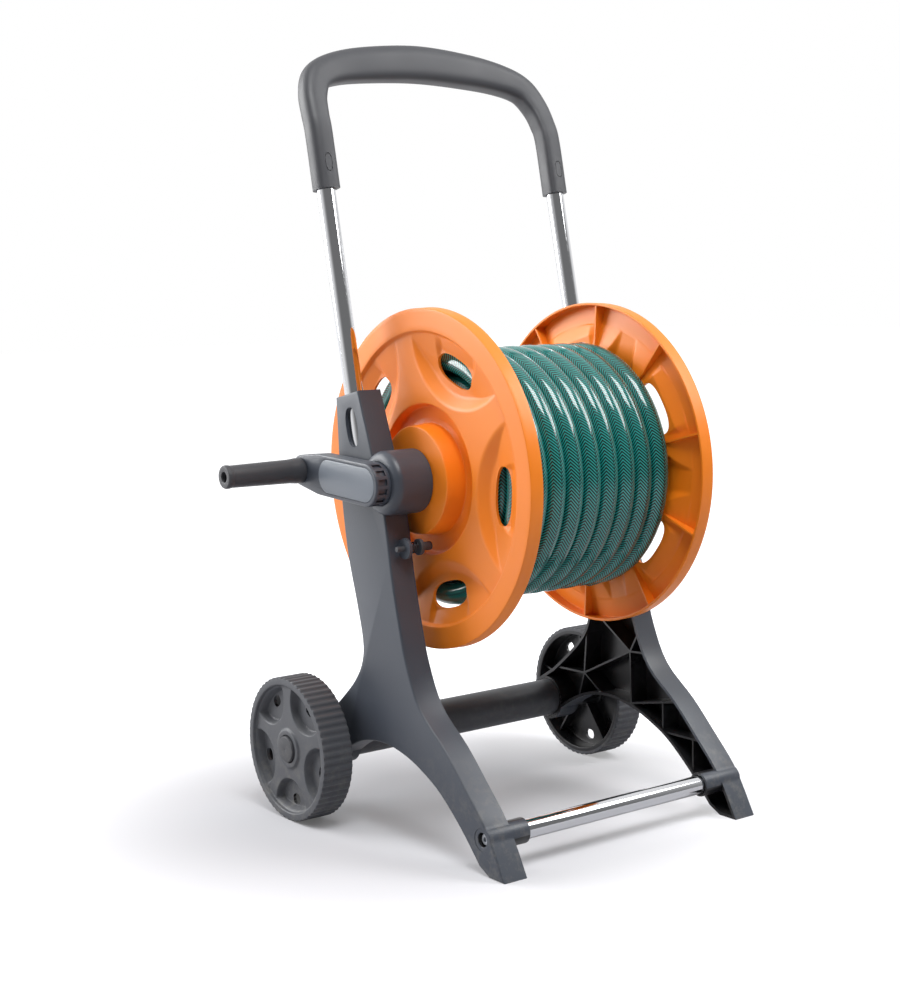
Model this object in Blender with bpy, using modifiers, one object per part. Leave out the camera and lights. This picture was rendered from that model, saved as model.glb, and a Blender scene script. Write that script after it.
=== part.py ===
"""Hose reel cart: a wound garden hose on a crank drum, carried by two ribbed legs and two wheels.

Metres, +Z up. X runs along the drum axis with the crank at -X, -Y is the side of the feet.
"""
import math

import bmesh
import bpy
import numpy as np
from mathutils import Matrix, Vector

# Clearances
GAP = 0.0003
RUN_GAP = 0.0004

# Drum
DRUM_HEIGHT = 0.336
FLANGE_RADIUS = 0.160
DRUM_WIDTH = 0.192
RIM_DEPTH = 0.014
FLANGE_WALL = 0.0026
RIM_BAND = 0.0225
HUB_RADIUS = 0.051
HUB_RISE = 0.0095
TROUGH_RADIUS = 0.0700
BARREL_RADIUS = 0.0550
BARREL_WALL = 0.0030
SPIGOT_LENGTH = 0.0045
PETALS = 5
PETAL_CENTRE = 0.156
PETAL_RADIUS = 0.078
PETAL_DEPTH = 0.0070
PETAL_DRAFT = 0.0140
PETAL_RIM_DRAFT = 0.0200
WINDOW_RADIUS = 0.111
WINDOW_HALF_RADIAL = 0.0130
WINDOW_HALF_LENGTH = 0.0270
LEFT_PETAL_ANGLE = math.radians(22)
RIGHT_PETAL_ANGLE = math.radians(58)
FLANGE_RIB = 0.0022
DRUM_STEPS = 26

# Hose
HOSE_DIAMETER = 0.0205
HOSE_SIDE_GAP = 0.00095
WOUND_RADIUS = 0.1210
POINTS_PER_TURN = 24
STEP_END = math.radians(295)
STEP_SPREAD = math.radians(130)

# Legs
LEG_INNER = 0.129
LEG_THICKNESS = 0.026
LEG_WALL = 0.003
LEG_EDGE = 0.002
BOSS_RADIUS = 0.030
BOSS_PROUD = 0.005
BOSS_EDGE = 0.005
BOSS_WALL = 0.018
RIB = 0.002
FOOT_FRONT = -0.170
FOOT_LENGTH = 0.0215
WINDOW_SLOT_WIDTH = 0.019
WINDOW_SLOT_LENGTH = 0.038
WINDOW_SLOT_DROP = -0.031
WINDOW_SLOT_SHIFT = -0.008
OVAL_POINTS = 8

# Wheels and axle
WHEEL_RADIUS = 0.0706
WHEEL_WIDTH = 0.032
WHEEL_INNER = 0.170
WHEEL_HUB_RADIUS = 0.0195
WHEEL_RIBS = 40
TREAD_DEPTH = 0.0012
WHEEL_RIM_WALL = 0.008
WHEEL_FACE_WALL = 0.003
WHEEL_FACE_INSET = 0.0035
WHEEL_PETAL_DEPTH = 0.007
WHEEL_PETAL_CENTRE = 0.058
WHEEL_PETAL_RADIUS = 0.028
WHEEL_PETAL_ANGLE = math.radians(35)
WHEEL_SLOT_RADIUS = 0.0535
WHEEL_SLOT_HALF = 0.0042
AXLE_Y = 0.1115
AXLE_ROD_RADIUS = 0.005
CROSS_TUBE_RADIUS = 0.0193
CROSS_TUBE_WALL = 0.003
CROSS_TUBE_SEAT = 0.018
AXLE_LOBE_WALL = 0.0045
WASHER_THICKNESS = 0.0015
WASHER_RADIUS = 0.010
CAP_RADIUS = 0.0128
CAP_PROUD = 0.001

# Front bar
BAR_Y = -0.1395
BAR_Z = 0.032
BAR_RADIUS = 0.009
BAR_WALL = 0.0012
BAR_SLEEVE_WALL = 0.0024
BAR_SLEEVE_LENGTH = 0.020
BAR_SEAT = 0.014
SCREW_RADIUS = 0.0025
SCREW_HEAD_RADIUS = 0.0055
SCREW_HEAD_HEIGHT = 0.0035
SCREW_LENGTH = 0.026

# Upright tubes and handle
TUBE_RADIUS = 0.009
TUBE_WALL = 0.0011
TUBE_LEAN = math.radians(11.5)
SOCKET_TOP_Y = 0.0646
SOCKET_RISE = 0.0796
TUBE_SEAT = 0.070
ARM_BOTTOM = 0.197
TUBE_IN_HANDLE = 0.050
HANDLE_HEIGHT = 0.3285
ARM_DEPTH = 0.0235
BUTTON_HEIGHT = 0.024
BUTTON_WIDTH = 0.007
BUTTON_LENGTH = 0.017
HANDLE_SIDES = 12

# Crank
CRANK_LENGTH = 0.110
CRANK_TILT = math.radians(3.1)
CRANK_FACE = 0.176
CRANK_THICKNESS = 0.0145
CRANK_RADIUS = 0.020
CRANK_END_RADIUS = 0.015
CRANK_HUB_RADIUS = 0.0200
CRANK_SPIGOT_RADIUS = 0.009
COVER_RADIUS = 0.016
COVER_DEPTH = 0.002
COVER_LENGTH = 0.078
GRIP_LENGTH = 0.084
GRIP_RADIUS = 0.0123
GRIP_END_RADIUS = 0.0112
GRIP_BORE = 0.0050
CRANK_POCKETS = 6
COVER_PROUD = 0.0004
GRIP_PIN_RADIUS = 0.0038
NUT_RADIUS = 0.0125
NUT_HEIGHT = 0.004
JOURNAL_RADIUS = 0.0147

# Brake
BRAKE_Y = -0.0135
BRAKE_DROP = 0.0605
BRAKE_EAR_RADIUS = 0.0098
BRAKE_EAR_THICKNESS = 0.003
BRAKE_EAR_INSET = 0.011
BRAKE_TAIL = 0.0085
BRAKE_PIN_RADIUS = 0.0026
BRAKE_KNOB_RADIUS = 0.0076
BRAKE_KNOB_LENGTH = 0.004
BRAKE_REACH = 0.011
BRAKE_REACH_RADIUS = 0.004
BRAKE_SPRING_LENGTH = 0.012
BRAKE_SPRING_RADIUS = 0.0048
BRAKE_SPRING_WIRE = 0.0006
BRAKE_SPRING_CURLS = 3.5

# Water inlet
SPINDLE_RADIUS = 0.0090
SPINDLE_BORE = 0.0055
SEAL_THICKNESS = 0.002
NIPPLE_LENGTH = 0.026
NIPPLE_RADIUS = 0.0082
ELBOW_WALL = 0.0030
OUTLET_RADIUS = 0.0070
OUTLET_INSET = 0.0140

# Places worked out from the sizes above
HOSE_RUN = DRUM_WIDTH - 2 * HOSE_SIDE_GAP - HOSE_DIAMETER
HOSE_TURNS = math.floor(HOSE_RUN / (HOSE_DIAMETER + GAP))
HOSE_PITCH = HOSE_RUN / HOSE_TURNS
FLANGE_FACE = DRUM_WIDTH / 2 + RIM_DEPTH
HUB_FACE = FLANGE_FACE + HUB_RISE
LEG_OUTER = LEG_INNER + LEG_THICKNESS
LEG_MIDDLE = LEG_INNER + LEG_THICKNESS / 2
BOSS_INNER = HUB_FACE + 0.0008
BOSS_OUTER = LEG_OUTER + BOSS_PROUD
AXLE_Z = WHEEL_RADIUS
SOCKET_TOP_Z = DRUM_HEIGHT + SOCKET_RISE
PLATE = FLANGE_FACE - 0.0035
PETAL_RIM = FLANGE_RADIUS - RIM_BAND - 0.0045
JOURNAL_BORE = CRANK_SPIGOT_RADIUS + RUN_GAP
SCREW_SEAT = LEG_OUTER - 0.007
CRANK_SCREW_SEAT = CRANK_FACE - 0.010
OUTLET_X = DRUM_WIDTH / 2 - OUTLET_INSET
SPINDLE_END = OUTLET_X + 0.0035
BRAKE_EAR_X = LEG_INNER + BRAKE_EAR_INSET
BRAKE_TAIL_X = BRAKE_EAR_X + BRAKE_EAR_THICKNESS + BRAKE_TAIL
WHEEL_OUTER = WHEEL_INNER + WHEEL_WIDTH
HUB = Vector((0, 0, DRUM_HEIGHT))
LEAN_UP = Vector((0, math.sin(TUBE_LEAN), math.cos(TUBE_LEAN)))
LEAN_BACK = Vector((0, math.cos(TUBE_LEAN), -math.sin(TUBE_LEAN)))
SOCKET_TOP = Vector((0, SOCKET_TOP_Y, SOCKET_TOP_Z))
GRIP_TIP = CRANK_FACE + GAP + GRIP_LENGTH
CAP_TIP = WHEEL_OUTER + CAP_PROUD
CAP_SEAT = WHEEL_OUTER - 0.009
AXLE_END = CAP_TIP - 0.003
CENTRE_X = (CAP_TIP - GRIP_TIP) / 2
CENTRE_Y = (FOOT_FRONT + AXLE_Y + WHEEL_RADIUS) / 2

# Turns an outline drawn in X and Y into one in Y and Z, extruded along X
ALONG_X = Matrix(((0, 0, 1, 0), (1, 0, 0, 0), (0, 1, 0, 0), (0, 0, 0, 1)))

COLOURS = {
    "grey_plastic": ((0.105, 0.118, 0.140), 0.45, 0.0),
    "dark_plastic": ((0.030, 0.031, 0.034), 0.5, 0.0),
    "orange_plastic": ((0.90, 0.21, 0.02), 0.35, 0.0),
    "chrome": ((0.80, 0.80, 0.82), 0.08, 1.0),
    "steel": ((0.45, 0.45, 0.47), 0.3, 1.0),
    "hose_pvc": ((0.006, 0.14, 0.12), 0.25, 0.0),
    "seal_rubber": ((0.02, 0.02, 0.02), 0.7, 0.0),
}

PARTS = None
CUTTERS = None
ROOT = None


# Scene, materials and finished parts

def start_scene():
    """Empty the file and make the two collections and the empty that carries the cart."""
    global PARTS, CUTTERS, ROOT
    for old in list(bpy.data.objects):
        bpy.data.objects.remove(old, do_unlink=True)
    PARTS = bpy.data.collections.new("hose_reel_cart")
    CUTTERS = bpy.data.collections.new("cutters")
    for collection in (PARTS, CUTTERS):
        bpy.context.scene.collection.children.link(collection)
    ROOT = bpy.data.objects.new("cart_origin", None)
    ROOT.location = (-CENTRE_X, -CENTRE_Y, 0)
    PARTS.objects.link(ROOT)


def new_material(name, slot):
    """A Principled material of the part's own, in the slot's colour."""
    colour, roughness, metallic = COLOURS[slot]
    material = bpy.data.materials.new(name)
    material.use_nodes = True
    shader = material.node_tree.nodes["Principled BSDF"]
    shader.inputs["Base Color"].default_value = (*colour, 1)
    shader.inputs["Roughness"].default_value = roughness
    shader.inputs["Metallic"].default_value = metallic
    material.diffuse_color = (*colour, 1)
    return material


def tool(mesh, matrix=None):
    """Put a mesh in the cutters' collection, as a body to cut or join with."""
    body = bpy.data.objects.new("tool", mesh)
    body.hide_render = True
    body.display_type = "WIRE"
    CUTTERS.objects.link(body)
    if matrix is not None:
        mesh.transform(matrix)
    return body


def from_bmesh(work, matrix=None):
    """Turn a bmesh into a tool body, with its faces pointing out."""
    bmesh.ops.recalc_face_normals(work, faces=work.faces)
    mesh = bpy.data.meshes.new("tool")
    work.to_mesh(mesh)
    work.free()
    return tool(mesh, matrix)


def evaluated_mesh(body):
    """The body's mesh with its modifiers applied."""
    graph = bpy.context.evaluated_depsgraph_get()
    graph.update()
    return bpy.data.meshes.new_from_object(body.evaluated_get(graph))


def combine(body, others, operation):
    """Join or cut the body with the others, which are used up."""
    for other in others:
        step = body.modifiers.new(operation.lower(), "BOOLEAN")
        step.operation = operation
        step.solver = "EXACT"
        step.object = other
    body.data = evaluated_mesh(body)
    body.modifiers.clear()
    for other in others:
        bpy.data.objects.remove(other, do_unlink=True)
    return body


def fuse(body, *others):
    return combine(body, others, "UNION")


def cut(body, *others):
    return combine(body, others, "DIFFERENCE")


def mirrored(body):
    """The body's mirror image in the middle plane, as a new body."""
    mesh = body.data.copy()
    mesh.transform(Matrix.Scale(-1, 4, (1, 0, 0)))
    mesh.flip_normals()
    return tool(mesh)


def finish(name, body, slot, pivot=(0, 0, 0)):
    """Name the body, set its origin on the pivot, shade it and hang it on the cart."""
    mesh = body.data
    work = bmesh.new()
    work.from_mesh(mesh)
    bmesh.ops.remove_doubles(work, verts=work.verts, dist=0.00001)
    bmesh.ops.dissolve_degenerate(work, edges=work.edges, dist=0.000005)
    bmesh.ops.dissolve_limit(work, angle_limit=math.radians(0.4), verts=work.verts, edges=work.edges)
    work.to_mesh(mesh)
    work.free()
    mesh.transform(Matrix.Translation(-Vector(pivot)))
    mesh.materials.clear()
    mesh.materials.append(new_material(name, slot))
    mesh.shade_smooth()
    mesh.set_sharp_from_angle(angle=math.radians(32))
    part = bpy.data.objects.new(name, mesh)
    mesh.name = name
    part.location = pivot
    part.parent = ROOT
    PARTS.objects.link(part)
    bpy.data.objects.remove(body, do_unlink=True)
    return part


# Shapes

def cylinder(radius, low, high, y=0.0, z=0.0, sides=24):
    """A cylinder along X from low to high."""
    work = bmesh.new()
    bmesh.ops.create_cone(work, cap_ends=True, segments=sides, radius1=radius, radius2=radius,
                          depth=high - low)
    place = Matrix.Translation((0, 0, (low + high) / 2))
    return from_bmesh(work, Matrix.Translation((0, y, z)) @ ALONG_X @ place)


def box(low, high, matrix=None):
    """A box between two corners."""
    low, high = Vector(low), Vector(high)
    work = bmesh.new()
    bmesh.ops.create_cube(work, size=1.0)
    size = high - low
    fit = Matrix.Translation((low + high) / 2) @ Matrix.Diagonal((*size, 1))
    return from_bmesh(work, (matrix or Matrix()) @ fit)


def turned(profile, steps, y=0.0, z=0.0, closed=False):
    """A profile of radius and X position, turned about an axis along X by a Screw modifier.

    The profile runs from high X to low X down the outside; a closed one comes back up a bore.
    """
    count = len(profile)
    edges = [(i, i + 1) for i in range(count - 1)]
    if closed:
        edges.append((count - 1, 0))
    mesh = bpy.data.meshes.new("tool")
    mesh.from_pydata([(radius, 0, place) for radius, place in profile], edges, [])
    body = tool(mesh)
    screw = body.modifiers.new("turn", "SCREW")
    screw.axis = "Z"
    screw.angle = math.tau
    screw.steps = steps
    screw.render_steps = steps
    screw.use_merge_vertices = True
    screw.merge_threshold = 0.00001
    body.data = evaluated_mesh(body)
    body.modifiers.clear()
    body.data.transform(Matrix.Translation((0, y, z)) @ ALONG_X)
    return body


def extruded(outlines, low, high, matrix=None):
    """Closed outlines of Y and Z, filled and drawn out along X from low to high."""
    curve = bpy.data.curves.new("tool", "CURVE")
    curve.dimensions = "2D"
    curve.fill_mode = "BOTH"
    curve.extrude = (high - low) / 2
    for outline in outlines:
        spline = curve.splines.new("POLY")
        spline.points.add(len(outline) - 1)
        for point, place in zip(spline.points, outline):
            point.co = (place[0], place[1], 0, 1)
        spline.use_cyclic_u = True
    guide = bpy.data.objects.new("tool", curve)
    CUTTERS.objects.link(guide)
    mesh = evaluated_mesh(guide)
    bpy.data.objects.remove(guide, do_unlink=True)
    work = bmesh.new()
    work.from_mesh(mesh)
    bmesh.ops.remove_doubles(work, verts=work.verts, dist=0.00001)
    shift = ALONG_X @ Matrix.Translation((0, 0, (low + high) / 2))
    return from_bmesh(work, (matrix or Matrix()) @ shift)


def round_tube(points, radius, resolution):
    """A capped tube along a poly line."""
    curve = bpy.data.curves.new("tool", "CURVE")
    curve.dimensions = "3D"
    curve.bevel_depth = radius
    curve.bevel_resolution = resolution
    curve.use_fill_caps = True
    spline = curve.splines.new("POLY")
    spline.points.add(len(points) - 1)
    for point, place in zip(spline.points, points):
        point.co = (*place, 1)
    guide = bpy.data.objects.new("tool", curve)
    CUTTERS.objects.link(guide)
    mesh = evaluated_mesh(guide)
    bpy.data.objects.remove(guide, do_unlink=True)
    work = bmesh.new()
    work.from_mesh(mesh)
    bmesh.ops.remove_doubles(work, verts=work.verts, dist=0.00001)
    return from_bmesh(work)


def lofted(rings):
    """A closed body through rings of equally many points, capped at both ends."""
    work = bmesh.new()
    made = [[work.verts.new(point) for point in ring] for ring in rings]
    for lower, upper in zip(made, made[1:]):
        for i in range(len(lower)):
            j = (i + 1) % len(lower)
            work.faces.new((lower[i], lower[j], upper[j], upper[i]))
    bmesh.ops.triangulate(work, faces=work.faces[:])
    work.faces.new(list(reversed(made[0])))
    work.faces.new(made[-1])
    return from_bmesh(work)


def arc(centre, radius, start, end, count):
    """Points on an arc, angles in degrees from +Y towards +Z."""
    points = []
    for i in range(count):
        angle = math.radians(start + (end - start) * i / (count - 1))
        points.append((centre[0] + radius * math.cos(angle), centre[1] + radius * math.sin(angle)))
    return points


def smooth_line(points, steps):
    """A Catmull-Rom line through the points, each stretch split into steps."""
    places = np.array(points, dtype=float)
    last = len(places) - 1
    line = []
    for i in range(last):
        before, start = places[max(i - 1, 0)], places[i]
        end, after = places[i + 1], places[min(i + 2, last)]
        for step in range(steps):
            t = step / steps
            pull = (end - before) * t + (2 * before - 5 * start + 4 * end - after) * t * t
            place = start + 0.5 * (pull + (3 * start - before - 3 * end + after) * t ** 3)
            line.append(tuple(float(value) for value in place))
    line.append(tuple(float(value) for value in places[-1]))
    return line


def inset(outline, distance):
    """The outline moved inwards by a distance, for an outline that runs anticlockwise."""
    moved = []
    count = len(outline)
    for i in range(count):
        before = Vector(outline[i - 1])
        here = Vector(outline[i])
        after = Vector(outline[(i + 1) % count])
        first = (here - before).normalized()
        second = (after - here).normalized()
        left = Vector((-first.y, first.x)) + Vector((-second.y, second.x))
        left.normalize()
        lean = max(left.dot(Vector((-first.y, first.x))), 0.5)
        moved.append(tuple(here + left * distance / lean))
    return moved


def stadium(length, first_radius, second_radius, count):
    """A link outline from the origin along +Y: two round ends joined by straight edges."""
    return arc((0, 0), first_radius, 90, 270, count) + arc((length, 0), second_radius, -90, 90, count)


def about_hub(outline, angle, height=DRUM_HEIGHT):
    """An outline of radial and sideways distances, turned to an angle from the vertical."""
    turned_outline = []
    for radial, side in outline:
        y = -radial * math.sin(angle) - side * math.cos(angle)
        z = radial * math.cos(angle) - side * math.sin(angle)
        turned_outline.append((y, height + z))
    return turned_outline


def lens(circle_centre, circle_radius, rim_radius, count):
    """The part of a circle, centred outside a rim, that lies within the rim."""
    reach = (circle_centre ** 2 + rim_radius ** 2 - circle_radius ** 2) / (2 * circle_centre)
    half = math.sqrt(rim_radius ** 2 - reach ** 2)
    spread = math.degrees(math.atan2(half, circle_centre - reach))
    inner = arc((circle_centre, 0), circle_radius, 180 + spread, 180 - spread, count)
    rim_spread = math.degrees(math.atan2(half, reach))
    outer = arc((0, 0), rim_radius, rim_spread, -rim_spread, count)
    return inner + outer[1:-1]


def lens_body(angle, low, high, height, axis_y=0.0, count=5):
    """A drafted lens along X between two (x, circle centre, circle radius, rim radius) sections."""
    rings = []
    for x, centre, radius, rim in (low, high):
        outline = about_hub(lens(centre, radius, rim, count), angle, height)
        rings.append([(x, y + axis_y, z) for y, z in outline])
    return lofted(rings)


# Legs

LEG_ARCH = ((-0.1345, 0.0070), (-0.1085, 0.0340), (-0.0785, 0.0590), (-0.0540, 0.0725),
            (-0.0280, 0.0825), (0.0000, 0.0880), (0.0260, 0.0880), (0.0500, 0.0830),
            (0.0740, 0.0720))
LEG_REAR = ((0.1020, 0.309), (0.0790, 0.364), (0.0570, 0.424), (0.0445, 0.483), (0.0425, 0.548),
            (0.0520, 0.661), (0.0635, 0.780), (0.0715, 0.929), (0.0750, 1.071))
LEG_FRONT = ((0.0195, 1.089), (0.0005, 0.917), (-0.0095, 0.744), (-0.0205, 0.601), (-0.0305, 0.500),
             (-0.0500, 0.391), (-0.0870, 0.302), (-0.1155, 0.219), (-0.1430, 0.134), (-0.1590, 0.060))
LEG_RIBS = (((0.048, 0.152), (0.0525, 0.107)), ((0.106, 0.106), (0.0525, 0.107)),
            ((0.0525, 0.107), (-0.019, 0.141)), ((0.0525, 0.107), (0.062, 0.078)),
            ((0.0525, 0.107), (0.014, 0.082)), ((-0.019, 0.141), (-0.034, 0.166)),
            ((-0.019, 0.141), (-0.052, 0.143)), ((-0.019, 0.141), (0.048, 0.184)),
            ((-0.019, 0.141), (-0.0205, 0.079)), ((-0.019, 0.087), (-0.088, 0.1005)),
            ((-0.067, 0.098), (-0.067, 0.060)), ((-0.066, 0.0665), (-0.117, 0.067)),
            ((-0.1096, 0.068), (-0.1096, 0.030)), ((-0.022, 0.205), (0.062, 0.250)),
            ((0.060, 0.247), (-0.002, 0.302)))


def leg_outline():
    """The leg seen from the side, anticlockwise from the toe, as Y and Z."""
    foot_back = (FOOT_FRONT + FOOT_LENGTH, 0.0)
    lobe = arc((AXLE_Y, AXLE_Z), CROSS_TUBE_RADIUS + AXLE_LOBE_WALL, -160, 62, 9)
    top_back = (SOCKET_TOP_Y + TUBE_RADIUS + 0.0035, SOCKET_TOP_Z - 0.0035)
    top_front = (SOCKET_TOP_Y - 0.0250, SOCKET_TOP_Z + 0.0045)
    rear = [(y, share * DRUM_HEIGHT) for y, share in LEG_REAR]
    front = [(y, share * DRUM_HEIGHT) for y, share in LEG_FRONT]
    toe = (FOOT_FRONT, 0.0)
    outline = [foot_back, *LEG_ARCH] + lobe[:-1]
    outline += [lobe[-1], *rear, top_back, top_front, *front, toe]
    return outline


def soften(body, level, width, segments):
    """Round the outline edges of a body that was drawn out along X, at one of its faces."""
    work = bmesh.new()
    work.from_mesh(body.data)
    bmesh.ops.dissolve_limit(work, angle_limit=0.01, verts=work.verts, edges=work.edges)
    chosen = [edge for edge in work.edges
              if all(abs(vert.co.x - level) < 0.00001 for vert in edge.verts)]
    bmesh.ops.bevel(work, geom=chosen, offset=width, segments=segments, profile=0.5,
                    affect="EDGES", clamp_overlap=True)
    work.to_mesh(body.data)
    work.free()
    return body


def rod(start, end, radius, sides):
    """A cylinder between two points."""
    start, end = Vector(start), Vector(end)
    work = bmesh.new()
    bmesh.ops.create_cone(work, cap_ends=True, segments=sides, radius1=radius, radius2=radius,
                          depth=(end - start).length)
    turn = (end - start).to_track_quat("Z", "Y").to_matrix().to_4x4()
    return from_bmesh(work, Matrix.Translation((start + end) / 2) @ turn)


def on_tube(along, back=0.0):
    """A point beside the right upright tube's axis: up along it and back from it."""
    return SOCKET_TOP + Vector((LEG_MIDDLE, 0, 0)) + LEAN_UP * along + LEAN_BACK * back


def leg_rib(start, end):
    """A web of the leg's open side, between two points of Y and Z."""
    (y0, z0), (y1, z1) = start, end
    length = math.hypot(y1 - y0, z1 - z0)
    turn = Matrix.Rotation(math.atan2(z1 - z0, y1 - y0), 4, "X")
    place = Matrix.Translation((0, y0, z0)) @ turn
    return box((LEG_INNER + 0.002, 0, -RIB / 2), (LEG_OUTER, length, RIB / 2), place)


def socket_frame():
    """Outlines of X and height along the tube, drawn out from its front to its back."""
    frame = Matrix((LEAN_BACK, (-1, 0, 0), LEAN_UP)).transposed().to_4x4()
    return Matrix.Translation(on_tube(0)) @ frame


def leg_boss():
    """The drum's bearing: a ring stepped inside for the crank hub and the flange journal."""
    step = BOSS_INNER + BOSS_WALL
    wide = CRANK_HUB_RADIUS + RUN_GAP
    narrow = JOURNAL_RADIUS + RUN_GAP
    profile = [(wide, BOSS_OUTER), (BOSS_RADIUS - BOSS_EDGE, BOSS_OUTER),
               (BOSS_RADIUS - 0.3 * BOSS_EDGE, BOSS_OUTER - 0.3 * BOSS_EDGE),
               (BOSS_RADIUS, BOSS_OUTER - BOSS_EDGE),
               (BOSS_RADIUS, BOSS_INNER), (narrow, BOSS_INNER), (narrow, step), (wide, step)]
    return turned(profile, 21, z=DRUM_HEIGHT, closed=True)


def axle_lobe():
    """The ring that holds the cross tube, closed at its outer end around the axle rod."""
    seat = LEG_INNER + CROSS_TUBE_SEAT
    outer = CROSS_TUBE_RADIUS + AXLE_LOBE_WALL - 0.0012
    wide = CROSS_TUBE_RADIUS + GAP
    narrow = AXLE_ROD_RADIUS + GAP
    profile = [(narrow, LEG_OUTER - 0.0004), (outer, LEG_OUTER - 0.0004), (outer, LEG_INNER + 0.0004),
               (wide, LEG_INNER + 0.0004), (wide, seat), (narrow, seat)]
    return turned(profile, 20, AXLE_Y, AXLE_Z, closed=True)


def bar_sleeve():
    """The ring that holds the front bar, with the screw's seat and hole at its outer end."""
    seat = LEG_INNER + BAR_SEAT
    outer = BAR_RADIUS + GAP + BAR_SLEEVE_WALL
    wide = BAR_RADIUS + GAP
    narrow = SCREW_RADIUS + GAP
    head = SCREW_HEAD_RADIUS + 0.001
    profile = [(head, LEG_OUTER - 0.0004), (outer, LEG_OUTER - 0.0004),
               (outer, LEG_INNER - BAR_SLEEVE_LENGTH), (wide, LEG_INNER - BAR_SLEEVE_LENGTH),
               (wide, seat), (narrow, seat), (narrow, SCREW_SEAT), (head, SCREW_SEAT)]
    return turned(profile, 16, BAR_Y, BAR_Z, closed=True)


def right_leg_body():
    outline = leg_outline()
    body = soften(extruded([outline], LEG_INNER, LEG_OUTER), LEG_OUTER, LEG_EDGE, 1)
    pocket = extruded([inset(outline, LEG_WALL)], LEG_INNER - 0.010, LEG_OUTER - LEG_WALL)
    socket_block = box((LEG_INNER - 0.02, -0.1, DRUM_HEIGHT - 0.004),
                       (LEG_OUTER, 0.2, SOCKET_TOP_Z + 0.05))
    cut(pocket, socket_block, *[leg_rib(start, end) for start, end in LEG_RIBS])
    low, high = LEG_INNER - 0.01, LEG_OUTER + 0.01
    cut(body, pocket, cylinder(BOSS_RADIUS - 0.002, low, high, 0, DRUM_HEIGHT, 20),
        cylinder(CROSS_TUBE_RADIUS + 0.0018, low, high, AXLE_Y, AXLE_Z, 19),
        cylinder(BAR_RADIUS + GAP + BAR_SLEEVE_WALL / 2, low, high, BAR_Y, BAR_Z, 17))
    fuse(body, leg_boss(), axle_lobe(), bar_sleeve())
    window = [(y * WINDOW_SLOT_WIDTH / 2, z) for y, z in oval(1.0, WINDOW_SLOT_LENGTH / 2)]
    slot_turn = Matrix.Rotation(-TUBE_LEAN, 4, "X")
    slot_place = Matrix.Translation(SOCKET_TOP + LEAN_UP * WINDOW_SLOT_DROP
                                    + Vector((0, WINDOW_SLOT_SHIFT, 0))) @ slot_turn
    return cut(body, rod(on_tube(-TUBE_SEAT - GAP), on_tube(0.05), TUBE_RADIUS + GAP, 16),
               extruded([window], LEG_MIDDLE, LEG_OUTER + 0.01, slot_place))


def brake_ear(body):
    """Add the ear that the brake plunger slides in to the leg's front."""
    z = DRUM_HEIGHT - BRAKE_DROP
    far = BRAKE_EAR_X + BRAKE_EAR_THICKNESS
    web = box((BRAKE_EAR_X, BRAKE_Y, z - 0.7 * BRAKE_EAR_RADIUS),
              (far, BRAKE_Y + BRAKE_EAR_RADIUS + 0.001, z + 0.7 * BRAKE_EAR_RADIUS))
    ear = fuse(cylinder(BRAKE_EAR_RADIUS, BRAKE_EAR_X, far, BRAKE_Y, z, 20), web)
    fuse(body, ear)
    return cut(body, cylinder(BRAKE_PIN_RADIUS + RUN_GAP, BRAKE_EAR_X - 0.001, far + 0.001, BRAKE_Y, z, 12))


def oval(half_width, half_length, count=OVAL_POINTS):
    """A rounded oval about the origin, longer along the second direction."""
    points = []
    for i in range(count):
        angle = math.tau * (i + 0.5) / count
        across = math.copysign(abs(math.cos(angle)) ** 0.8, math.cos(angle))
        along = math.copysign(abs(math.sin(angle)) ** 0.8, math.sin(angle))
        points.append((half_width * across, half_length * along))
    return points


def make_legs():
    right = right_leg_body()
    left = mirrored(brake_ear(tool(right.data.copy())))
    finish("right_leg", right, "grey_plastic")
    finish("left_leg", left, "grey_plastic")


# Frame tubes, bar, axle

def ring(outer, inner, low, high, y, z, sides):
    """A plain ring along X."""
    return turned([(inner, high), (outer, high), (outer, low), (inner, low)], sides, y, z, closed=True)


def make_upright_tubes():
    tube = rod(on_tube(-TUBE_SEAT), on_tube(ARM_BOTTOM + TUBE_IN_HANDLE), TUBE_RADIUS, 16)
    bore = rod(on_tube(-TUBE_SEAT - 0.01), on_tube(ARM_BOTTOM + TUBE_IN_HANDLE + 0.01),
               TUBE_RADIUS - TUBE_WALL, 16)
    cut(tube, bore)
    cut(tube, button_hole(-TUBE_RADIUS - 0.002, -TUBE_RADIUS + 0.004))
    finish("left_upright_tube", mirrored(tube), "chrome")
    finish("right_upright_tube", tube, "chrome")


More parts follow.
